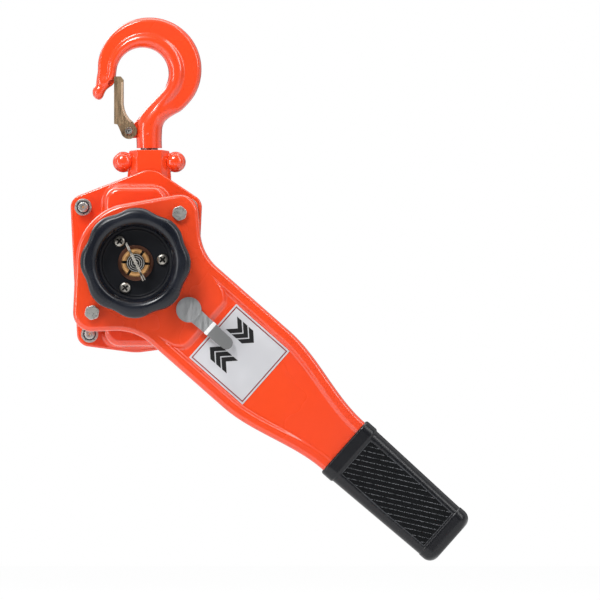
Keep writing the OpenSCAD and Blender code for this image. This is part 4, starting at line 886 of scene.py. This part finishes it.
def makeGrip():
    # rings of a rounded rectangle along the lever. Its two faces carry a sunk field with slanting ribs.
    p = grip
    start, end, up = p["fromU"], p["toU"], p["startRound"]
    quarter = np.linspace(0, math.pi / 2, 26)
    u = np.concatenate([
        start + up * (1 - np.cos(np.linspace(0, math.pi / 2, 7))), np.linspace(243.6, 251.6, 8),
        [252.2, 252.7, 253.1, 253.5, 253.9, 254.4, 255.2, 256.0], np.linspace(256.4, 351.0, 330),
        [351.4, 351.8, 352.2, 352.6], end - 12.0 + 12.0 * np.sin(quarter)])
    stops = [start, 252.4, 254.0, 351.5, 352.4, end]
    rims = [p["endHalf"] + 0.05, p["endHalf"] + 0.6, p["endHalf"] + 0.6]
    half = np.interp(u, stops, [p["collarHalf"], p["collarHalf"], p["bodyHalf"], *rims])
    thick = np.interp(u, stops, [p["collarT"], p["collarT"], p["bodyT"], p["bodyT"], p["collarT"], p["collarT"]])
    startDrop = roundDrop(up, u - start)
    half = half - startDrop - roundDrop(p["corner"], end - u)
    thick = thick - startDrop - roundDrop(p["cornerT"], end - u) * 0.9
    v, y, onFace = gripRing(half, thick)
    uu = np.repeat(u[:, None], v.shape[1], axis=1)

    def between(x, low, high):
        return smooth((x - low) / p["panelSoft"]) * smooth((high - x) / p["panelSoft"])

    field = between(uu, p["panelFrom"], p["panelTo"]) * between(v, -p["panelHalf"], p["panelHalf"]) * onFace
    lean = math.radians(p["ribLean"])
    across = (v * np.where(y > 0, 1, -1) * math.cos(lean) - uu * math.sin(lean)) / p["ribStep"]
    rib = smooth((0.36 - np.abs(across - np.round(across)) * 2) / 0.26)
    y = y - np.sign(y) * field * (p["panelSink"] - p["ribUp"] * rib)
    obj = closedGrid("leverGripFinish", fromLever(uu, v, layout["leverMid"] + y))
    for label, values in (("field", field), ("rib", field * rib)):
        att = obj.data.attributes.new(label, "FLOAT", "POINT")
        att.data.foreach_set("value", np.concatenate([values.ravel(), [0, 0]]).astype(np.float32))
    settle(turnFaces(obj, merge=False), "grip", "lever", "lever_grip")
    print("grip done")


# ---------- handwheel ----------

wheel = dict(
    outR=48.0, lobes=8, wave=2.5, firstDip=88, back=73.2, front=100.0, boreR=9.6, seat=76.1, floor=81.0,
    floorR=27.6, floorEdge=31.3, mouthR=32.6, mouthFrom=91.5, mouthRound=6.2, around=384,
)


def makeHandwheel():
    # rings about the drive axis: (radius, front, share of the lobes); the outer ones swell and shrink with the lobes
    p = wheel
    theta = around(p["around"])
    dip = p["wave"] * ((1 - np.cos(p["lobes"] * (theta - math.radians(p["firstDip"])))) / 2) ** 1.5
    f, b, R, k, floor = p["front"], p["back"], p["outR"], p["mouthRound"], p["floor"]
    bore, crest = p["boreR"], 41.8
    rows = [(bore, p["seat"], 0), (bore, floor - 0.4, 0), (bore + 0.4, floor, 0), (18, floor, 0), (p["floorR"], floor, 0)]
    rows += [(p["floorR"] + x, floor + y, 0) for x, y in fillet(0, 0, 1.5, 1.2, 5, "x")]
    rows += [(29.6, 83.0, 0), (30.0, 83.4, 0), (30.9, 83.7, 0), (31.6, 84.2, 0), (31.9, 85.2, 0), (32.3, 89.0, 0)]
    rows += [(p["mouthR"] + x, p["mouthFrom"] + y, 0) for x, y in fillet(0, 0, k, f - p["mouthFrom"], 14, "y")]
    rows += [(39.2, f + 0.02, 0.05), (41.0, f - 0.12, 0.25)]
    rows += [(crest + x, f - 0.25 - y, 0.35 + 0.65 * x / (R - crest)) for x, y in fillet(0, 0, R - crest, 6.2, 12, "x")]
    rows += [(R, 90.0, 1), (R - 0.2, 82.0, 1), (R - 0.8, b + 3.4, 1)]
    rows += [(R - 1.0 - x, b + 2.6 - y, 1) for x, y in fillet(0, 0, 2.6, 2.6, 5, "y")]
    rows += [(39.6, b, 0.3), (39.0, b + 0.5, 0.1), (38.6, 88.5, 0), (37.6, 89.5, 0), (35.6, 89.0, 0), (34.0, 84.0, 0),
             (31.8, b + 0.5, 0), (31.2, b, 0), (28.9, b, 0), (28.4, b + 0.4, 0), (28.4, p["seat"], 0)]
    pts = np.array([fromDrive((r - k * dip) * np.cos(theta), y, (r - k * dip) * np.sin(theta)) for r, y, k in rows])
    obj = gridPiece("handwheelFinish", pts, closeRows=True, closeCols=True)
    settle(turnFaces(obj), "wheel", "hand_drive", "handwheel", 38)
    at = faceCentres(obj)
    # the cup's floor and lower walls take the darker look: painted shade inside the cup
    secondLook(obj, "cupShadeLook", (np.hypot(at[:, 0], at[:, 2]) < p["floorEdge"]) & (-at[:, 1] > floor - 2))
    print("handwheel done")


# ---------- hook ----------

hook = dict(
    neckX=3.9, footZ=-64.6, shankR=11.0, bowlR=22.8, backR=45.3, backCentre=(6.2, 3.8), bowlShift=(-2.1, 0.2),
    halfT=9.5, tipHalfT=6.6, throat=-38.0, bowlEnd=178, ringPoints=112, stations=300, web=0.68, webFrom=0.7, blend=14,
    notch=(-28.9, -8.2, 3.1), notchFrom=2.4, notchTo=14, mark=(2.6, -10.2, -52.6), markR=1.5,
    pivot=(-13.9, -49.6), earR=6.6, earHalf=2.6,
)


def hookStations():
    # inner edge, outer edge and half thickness: the foot, the neck's two cubic curves, the bowl and the tip
    p = hook
    centre = np.array(p["backCentre"])

    def ray(a):
        return np.array([math.cos(a), math.sin(a)])

    def back(a):
        along = ray(a) @ centre
        return (along + math.sqrt(along * along - centre[0] ** 2 - centre[1] ** 2 + p["backR"] ** 2)) * ray(a)

    def cubic(q, t):
        q = np.array(q, float)
        return (1 - t) ** 3 * q[0] + 3 * t * (1 - t) ** 2 * q[1] + 3 * t * t * (1 - t) * q[2] + t ** 3 * q[3]

    n, f, s, thick = p["neckX"], p["footZ"], p["shankR"], p["halfT"]
    turn = math.radians(p["throat"])
    inEnd, outEnd = p["bowlR"] * ray(turn), back(turn - math.radians(4))
    rows = [((n - s, f), (n + s, f), s)]
    for t in np.arange(6) / 5:
        rows.append((cubic([(n - s, f + 20), (n - s, f + 28), inEnd - [11, 12.5], inEnd], t),
                     cubic([(n + s, f + 12), (n + s, f + 24), outEnd - [13, 8.5], outEnd], t), s + (thick - s) * t))
    for t in np.arange(1, 15) / 14:
        a = math.radians(p["throat"] + (p["bowlEnd"] - p["throat"]) * t)
        rows.append((p["bowlR"] * ray(a), back(a), thick + (p["tipHalfT"] - thick) * smooth(t)))
    rows += [((-23.4, -4.6), (-39.8, -3.0), 6.2), ((-25.8, -9.6), (-40.2, -6.6), 5.4),
             ((-30.4, -13.2), (-40.6, -9.4), 4.7), ((-32.8, -16.4), (-42.8, -12.8), 5.2),
             ((-34.2, -19.8), (-43.4, -16.8), 5.0),
             ((-36.2, -22.2), (-42.0, -20.4), 3.4), ((-37.8, -22.8), (-40.4, -22.0), 1.6)]
    rows = np.array([[*a, *b, h] for a, b, h in rows])
    # the bowl is shifted, and the neck leads over to it
    move = smooth((np.maximum(rows[:, 1], rows[:, 3]) + 46) / 24)
    rows[:, :4] += np.array([*p["bowlShift"], *p["bowlShift"]]) * move[:, None]
    return rows


def curveThrough(rows, n):
    # a smooth curve through the rows, spaced by length: Catmull and Rom's form
    step = np.r_[0, np.cumsum(np.linalg.norm(np.diff((rows[:, :2] + rows[:, 2:4]) / 2, axis=0), axis=1))]
    s = np.linspace(0, step[-1], n)
    k = np.clip(np.searchsorted(step, s, side="right") - 1, 0, len(rows) - 2)
    t = ((s - step[k]) / (step[k + 1] - step[k]))[:, None]
    slope = np.gradient(rows, step, axis=0)
    w = (step[k + 1] - step[k])[:, None]
    return (2 * t ** 3 - 3 * t ** 2 + 1) * rows[k] + (t ** 3 - 2 * t ** 2 + t) * w * slope[k] \
        + (3 * t ** 2 - 2 * t ** 3) * rows[k + 1] + (t ** 3 - t ** 2) * w * slope[k + 1]


def makeHook():
    # a forged section carried along the hook: a thick round bar inside, a thinner flat web outside
    p = hook
    rows = curveThrough(hookStations(), p["stations"])
    share = np.linspace(0, 1, p["stations"])[:, None]
    a = around(p["ringPoints"])
    w, side = np.cos(a)[None, :], np.sign(np.sin(a))[None, :]
    inner, outer, half = rows[:, None, 0:2], rows[:, None, 2:4], rows[:, None, 4]
    forged = smooth((share - 0.15) / 0.12) * smooth((0.93 - share) / 0.05)
    bar = np.sqrt(np.maximum(1 - ((w + 0.46) / 0.54) ** 2, 0))
    edge, k = p["webFrom"], p["blend"]
    rim = np.where(w > edge, np.sqrt(np.maximum(1 - ((w - edge) / 0.3) ** 2, 0)), 1)
    web = p["web"] * rim * smooth((w + 0.62) / 0.35)
    section = np.logaddexp(k * bar, k * web) / k - math.log(2) / k * (1 - np.abs(w)) ** 0.5
    section = np.where(np.abs(w) > 0.9999, 0, np.maximum(section, np.minimum(bar + web, 1e-9)))
    thick = half * side * (np.sqrt(np.maximum(1 - w * w, 0)) * (1 - forged) + section * forged)
    mid = (inner + outer) / 2 + (outer - inner) / 2 * w[..., None]
    obj = turnFaces(closedGrid("hookFinish", np.stack([mid[..., 0], -thick, mid[..., 1]], axis=-1) * mm))
    splitNormals(obj, 50)
    near, far = p["notchFrom"], p["notchTo"]
    cutRound(obj, [(*p["notch"], near, far), (*p["notch"], -far, -near)])
    settle(obj, "paint", "hook", angle=50)
    # a small forged ball on the shank
    (x, y, z), a, b = p["mark"], around(24), np.linspace(-math.pi / 2, math.pi / 2, 13)[1:-1, None]
    r = p["markR"]
    flat, high = r * np.cos(b), r * np.sin(b)
    ball = np.stack([x + flat * np.cos(a), y + flat * np.sin(a), z + high * np.ones_like(a)], axis=-1)
    settle(turnFaces(closedGrid("forgingMark", ball * mm)), "paint", "hook")
    print("hook done")
    return obj


def makeHookNeck():
    # the dark swivel neck and the latch's ear come with the hook
    p = hook
    theta = around(64)
    rows = [(6.9, -84.6), (7.5, -84.0), (7.5, -68.5), (7.5, -62.0)]
    pts = [np.stack([p["neckX"] + r * np.cos(theta), r * np.sin(theta), np.full_like(theta, z)], axis=-1)
           for r, z in rows]
    settle(turnFaces(closedGrid("swivelNeckFinish", np.array(pts) * mm)), "oiledSteel", "hook", angle=40)
    a = np.radians(np.linspace(60, 290, 40))
    ring = np.array(p["pivot"]) + p["earR"] * np.stack([np.cos(a), np.sin(a)], axis=-1)
    outline = np.concatenate([ring, [[2.0, -55.6], [2.0, -40.0], [-6.4, -39.6]]])
    ear = slabPiece("latchEarFinish", [outline], upright, (-p["earHalf"], p["earHalf"]))
    bevel(ear, 0.9, 3, 40)
    settle(ear, "paint", "hook", angle=40)


# ---------- latch ----------

latch = dict(right=-4.9, length=47.5, front=7.1, foldWidth=1.9, rivetFace=7.4)


def makeLatchTrim():
    # the fold along the latch's edge and the rivet's ring and heart, on both sides. The heart is a dark steel disc in
    # the ring's hollow: painted shade for the rivet's recess
    p = latch
    x0, z0 = hook["pivot"]
    bends = [(0, p["length"] - 5.0), (0, 34), (0, 23), (0.8, 18.8), (2.3, 14.8), (4.8, 11.0), (7.6, 8.2)]
    edge = np.array([(p["right"] + x, z) for x, z in bends])
    way = np.gradient(edge, axis=0)
    way /= np.linalg.norm(way, axis=1)[:, None]
    inner = edge + np.stack([way[:, 1], -way[:, 0]], axis=-1) * p["foldWidth"]
    outline = np.concatenate([edge, inner[::-1]]) + [x0, z0]
    offset = (x0 - layout["driveX"], z0 - layout["driveZ"])
    face = p["rivetFace"]
    ring = [(0, face), (3.4, face), (3.4, 8.7), (3.0, 9.2), (2.3, 9.2), (1.9, 8.8), (1.9, 8.1), (0, 8.1)]
    # a dark disc filling the ring's hollow: painted shade for the recess
    shadedHeart = [(0, 8.0), (1.85, 8.0), (1.85, 8.5), (0.9, 8.55), (0.7, 8.9), (0, 8.9)]
    sides = ((1, "Front"), (-1, "Rear"))
    for side, end in sides:
        levels = (-side * (p["front"] - 0.5), -side * (p["front"] + 0.9))
        fold = slabPiece("latchFoldHighlight" + end, [outline], upright, levels, strip=True)
        bevel(fold, 0.45, 3, 50)
        # the fold's lighter look paints the highlight along the bend
        settle(fold, "latchFoldHighlight", "latch", angle=50)
    rivets = (("latchRivet", ring, 48, "screwSteel"), ("latchRivetShadedHeart", shadedHeart, 32, "oiledSteel"))
    for side, end in sides:
        for name, rows, points, look in rivets:
            piece = turnedPiece(name + end, [(r, side * f) for r, f in rows], offset, points)
            settle(piece, look, "hook", angle=30)
    print("latch trim done")


# ---------- label ----------

label = dict(fromU=89.0, side=62.0, face=69.0, thick=0.5, ink=0.04, border=1.0, inset=1.5)


def flatPiece(name, polygons, front, thick):
    # thin plates from outlines in the lever's plane, each a list of (u, v)
    return slabPiece(name, polygons, lambda q, f: fromLever(q[:, 0], q[:, 1], f), (front + thick, front))


def box(u0, v0, u1, v1):
    return [(u0, v0), (u1, v0), (u1, v1), (u0, v1)]


def chevrons(u0, v0, way, count=3, arm=7.4, bar=5.4, step=6.7):
    # bent bars in a row along the lever, each with its point at (u, v0); way is the side they point to
    shape = [(0, 0), (arm, arm), (arm + bar, arm), (bar, 0), (arm + bar, -arm), (arm, -arm)]
    return [[(u0 + step * i - way * a, v0 + v) for a, v in shape] for i in range(count)]


def makeLabel():
    p = label
    front, h, w = p["face"] + p["thick"], p["side"] / 2, p["border"]
    plate = flatPiece("labelPlateFinish", [box(p["fromU"], -h, p["fromU"] + p["side"], h)], p["face"], p["thick"])
    settle(plate, "labelSilver", "lever", "label_plate")
    u0, u1, v = p["fromU"] + p["inset"], p["fromU"] + p["side"] - p["inset"], h - p["inset"]
    strips = [box(u0, -v, u1, -v + w), box(u0, v - w, u1, v),
              box(u0, -v + w, u0 + w, v - w), box(u1 - w, -v + w, u1, v - w)]
    arrows = chevrons(109.5, 15.9, 1) + chevrons(96.6, -12.4, -1)
    for name, shapes, look in (("labelBorder", strips, "labelRed"), ("labelArrows", arrows, "labelBlack")):
        settle(flatPiece(name, shapes, front, p["ink"]), look, "lever")
    print("label done")


# ---------- wheel's screws and the shaft's end ----------

hub = dict(
    screwR=5.0, screwAt=23.5, screwAngle=7.0, screwTurns=(35, 12, 60), crossLong=6.2, crossWide=1.7, crossFloor=82.2,
    nutSlot=2.3, nutSlotShade=1.2, slotFloor=88.0, cotterAngle=-64.0, cotterFront=89.7, shaftTop=90.2,
)


def makeWheelScrews():
    p = hub
    wide, low = p["screwR"], p["crossFloor"]
    rows = [(0, 79.0), (4.6, 79.0), (wide, 81.0), (wide, 82.0), (4.8, 82.7), (4.3, 83.25), (3.4, 83.6), (2.0, 83.85),
            (0, 83.95)]
    for i in range(3):
        a = math.radians(p["screwAngle"] + 120 * i)
        at = (p["screwAt"] * math.cos(a), p["screwAt"] * math.sin(a))
        screw = turnedPiece("wheelScrew" + "ABC"[i], rows, at)
        turn = a + math.radians(p["screwTurns"][i])
        cutBoxes(screw, [(*at, p["crossLong"], p["crossWide"], turn + t, low, 85) for t in (0, math.pi / 2)])
        settle(screw, "screwSteel", "hand_drive", "wheel_screws" if i == 0 else None, 32)
        # the walls of the cross and its floor take a near-black look: painted shade in the recess
        centre = faceCentres(screw, *at)
        depth = -centre[:, 1]
        c, q = math.cos(turn), math.sin(turn)
        along, across = np.abs(centre[:, 0] * c + centre[:, 2] * q), np.abs(centre[:, 2] * c - centre[:, 0] * q)
        inCross = ((along < 3.12) & (across < 0.87)) | ((across < 3.12) & (along < 0.87))
        wall = np.abs(np.array([face.normal for face in screw.data.polygons])[:, 1]) < 0.05
        secondLook(screw, "recessShade", inCross & ((depth < low + 0.05) & (depth > low - 0.1) | wall & (depth > low)))


def makeCastleNut():
    p = hub
    rows = [(8.1, 83.3), (12.0, 83.3), (12.3, 83.7), (12.3, 90.0), (11.9, 91.0), (11.2, 92.1), (10.1, 92.3), (9.9, 92.1),
            (8.3, 89.6), (8.1, 89.3)]
    nut = turnedPiece("castleNutFinish", rows)
    turns = [math.radians(p["cotterAngle"] + 60 * i) for i in range(3)]
    cutBoxes(nut, [(0, 0, 30, p["nutSlot"], a, p["slotFloor"], 95) for a in turns])
    settle(nut, "brassNut", "drive", "castle_nut", 30)
    # its slots take a near-black look: painted shade in the slots
    x, y, z = faceCentres(nut).T
    across = np.min([np.abs(z * math.cos(a) - x * math.sin(a)) for a in turns], axis=0)
    secondLook(nut, "recessShade", (across < p["nutSlotShade"]) & (-y > p["slotFloor"] - 0.1))


def makeCotter():
    # two half-round legs, side by side through the nut's slots, which part beyond the shaft
    p = hub
    a = np.radians(np.linspace(-90, 90, 9))
    c, s = math.cos(math.radians(p["cotterAngle"])), math.sin(math.radians(p["cotterAngle"]))
    for side, name, head, node in ((1, "cotterLegA", -19.4, "cotter_pin"), (-1, "cotterLegB", -18.6, None)):
        rows = []
        for along, size in [(head, 0.55), (head + 0.2, 1), (8.0, 1), (12.0, 1), (16.2, 1.25), (17.0, 0.9)]:
            gap = 0.12 + 0.45 * float(smooth((along - 8) / 6))
            across = side * (gap + 1.15 * size * np.r_[np.cos(a), 0])
            front = p["cotterFront"] + 1.2 * size * np.r_[np.sin(a), 0]
            rows.append(fromDrive(along * c - across * s, front, along * s + across * c))
        settle(turnFaces(closedGrid(name, np.array(rows))), "screwSteel", "drive", node, 40)


def makeShaftEnd():
    # turned rings, with painted shade in the grooves between them
    top = hub["shaftTop"]
    rows = [(0, 89.0), (7.9, 89.0), (7.9, top - 0.4)]
    for r in (7.5, 5.7, 3.9):
        rows += [(r, top), (r - 0.6, top), (r - 0.7, top - 0.45), (r - 1.7, top - 0.45)]
    rows += [(1.7, top - 0.1), (0.8, top - 0.1), (0.7, top - 0.6), (0, top - 0.6)]
    shaft = turnedPiece("shaftEndFinish", rows)
    settle(shaft, "zinc", "drive", angle=28)
    secondLook(shaft, "recessShade", -faceCentres(shaft)[:, 1] < top - 0.15)


# ---------- lock nuts and selector ----------

nutRing = dict(r=(4.5, 5.6), front=(31.2, 32.1), studR=1.1, stud=(33.7, 34.0), round=0.25)
selector = dict(
    at=lever["selectorU"], hubHalf=7.0, tipFrom=43.5, tipHalf=5.5, front=77.5, back=73.5,
    bandFrom=22.8, bandTo=26.4, bandProud=0.35, tipStart=26.3, tipProud=0.12,
)


def tubes(name, r0, r1, f0, f1, n=48):
    # short tubes along Y, r0 to r1, between two distances, at the casing's corners
    a, k = around(n), nutRing["round"]
    profile = [(r0, f0), (r1, f0), (r1, f1 - k), (r1 - k, f1), (r0, f1)]
    m = len(profile)
    verts, faces = [], []
    for x, z, _ in casing["corners"]:
        at = len(verts)
        for r, f in profile:
            verts += [tuple(q) for q in fromDrive(x + r * np.cos(a), f, z + r * np.sin(a))]
        for i in range(m):
            here, after = at + i * n, at + (i + 1) % m * n
            faces += [(here + j, here + (j + 1) % n, after + (j + 1) % n, after + j) for j in range(n)]
    return meshPiece(name, verts, faces)


def makeNutRings():
    p = nutRing
    for name, side in (("lockRingsFront", 1), ("lockRingsRear", -1)):
        settle(tubes(name, *p["r"], *(side * f for f in p["front"])), "nylon", "frame", angle=40)
    settle(tubes("studCentres", 0.0, p["studR"], *p["stud"], 24), "brassNutTurned", "frame", angle=40)
    print("nut rings done")


def armOutline(u0, u1, extra, roundTip):
    # the selector's arm narrows from the hub to the tip
    p = selector
    u = np.linspace(u0, min(u1, p["tipFrom"]), 8)
    upper = np.stack([u, np.interp(u, [0, p["tipFrom"]], [p["hubHalf"], p["tipHalf"]]) + extra], axis=-1)
    if roundTip:
        a = np.radians(np.linspace(90, 0, 14))[1:]
        r = p["tipHalf"] + extra
        upper = np.concatenate([upper, np.stack([p["tipFrom"] + r * np.cos(a), r * np.sin(a)], axis=-1)])
    return mirrored(upper) + [p["at"], 0]


def makeSelectorTrim():
    p = selector
    thick = p["front"] - p["back"]
    band = armOutline(p["bandFrom"], p["bandTo"], p["bandProud"], False)
    tip = armOutline(p["tipStart"], p["tipFrom"], p["tipProud"], True)
    for name, line, below, above, look in (("selectorBand", band, 0.15, 0.45, "selectorWhite"),
                                           ("selectorTip", tip, 0.1, 0.22, "selectorDark")):
        obj = flatPiece(name, [line], p["back"] - below, thick + above)
        bevel(obj, 0.4, 2, 40)
        settle(obj, look, "selector", angle=35)
    print("selector trim done")


# ---------- small parts carried over from the CAD ----------

smallParts = dict(
    paint=["side_plate_front", "side_plate_rear"],
    zinc=["stay_bolts", "cover_studs", "cover_nuts_front", "cover_nuts_rear", "lever_bolts", "lever_nuts", "latch_pin"],
    latchSheet=["latch"],
    selectorGrey=["selector_lever"],
    bronzeWasherTurned=["end_washer"],
    oiledSteel=["stay_sleeves", "suspension_pin", "load_sheave", "chain_stripper", "roller_pins"],
)
plainEdge = 0.35
edgeWidths = dict(side_plate_front=0.7, side_plate_rear=0.7, lever_bolts=0.5, end_washer=0.3, selector_lever=0.8,
                  latch=0.3, load_sheave=0.6)
plainLooks = dict(
    paint="paint", zinc="zinc", dark_steel="oiledSteel", lining="lining", bronze="bronzeWasherTurned",
    brass="brassNutTurned", wheel_black="wheel", grip_rubber="grip", latch_zinc="latchSheet", label="labelSilver",
    selector_zinc="selectorGrey", orange_paint="paint",
)
yoke = dict(rivetZ=88.1, rivetAt=22.8, headR=7.6, headFoot=11.2, headUp=5.0)


def makeYoke():
    p = yoke
    for node in ("yoke_front_half", "yoke_rear_half"):
        dress(softCopy(node), "castPaint")
    # each rivet has a domed head on both faces of the yoke
    r, foot, up = p["headR"], p["headFoot"], p["headUp"]
    dome = [(r * math.cos(a), foot + up * math.sin(a)) for a in np.radians(np.linspace(8, 90, 14))]
    dome[-1] = (0, dome[-1][1])
    rows = [(r, -f) for r, f in dome[::-1]] + [(r, -11.0), (5, -10.6), (5, 10.6), (r, 11.0)] + dome
    for side, name, node in ((-1, "yokeRivetLeft", "yoke_rivets"), (1, "yokeRivetRight", None)):
        at = (hook["neckX"] - layout["driveX"] + side * p["rivetAt"], p["rivetZ"])
        settle(turnedPiece(name, rows, at, 64), "castPaint", "yoke", node, 40)


def makeSmallParts():
    makeYoke()
    for look, nodes in smallParts.items():
        for node in nodes:
            dress(roundedCopy(node, edgeWidths.get(node, plainEdge)), look)
    slots = {s["node"]: s["material_slot"] for s in frame["record"]["subparts"]}
    for node, obj in frame["nodes"].items():
        dress(obj, plainLooks[slots[node]])
    print("small parts done, nodes:", len(frame["nodes"]))


# ---------- the build ----------

makeCamera()
makeLamps()
makeWorld()
makeFloor()
makeLooks()
makeCovers()
makeLever()
makeGrip()
makeHandwheel()
hookPiece = makeHook()
makeHookNeck()
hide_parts("top_hook")
makeLabel()
makeWheelScrews()
makeCastleNut()
makeCotter()
makeShaftEnd()
makeLatchTrim()
makeNutRings()
makeSelectorTrim()
makeSmallParts()
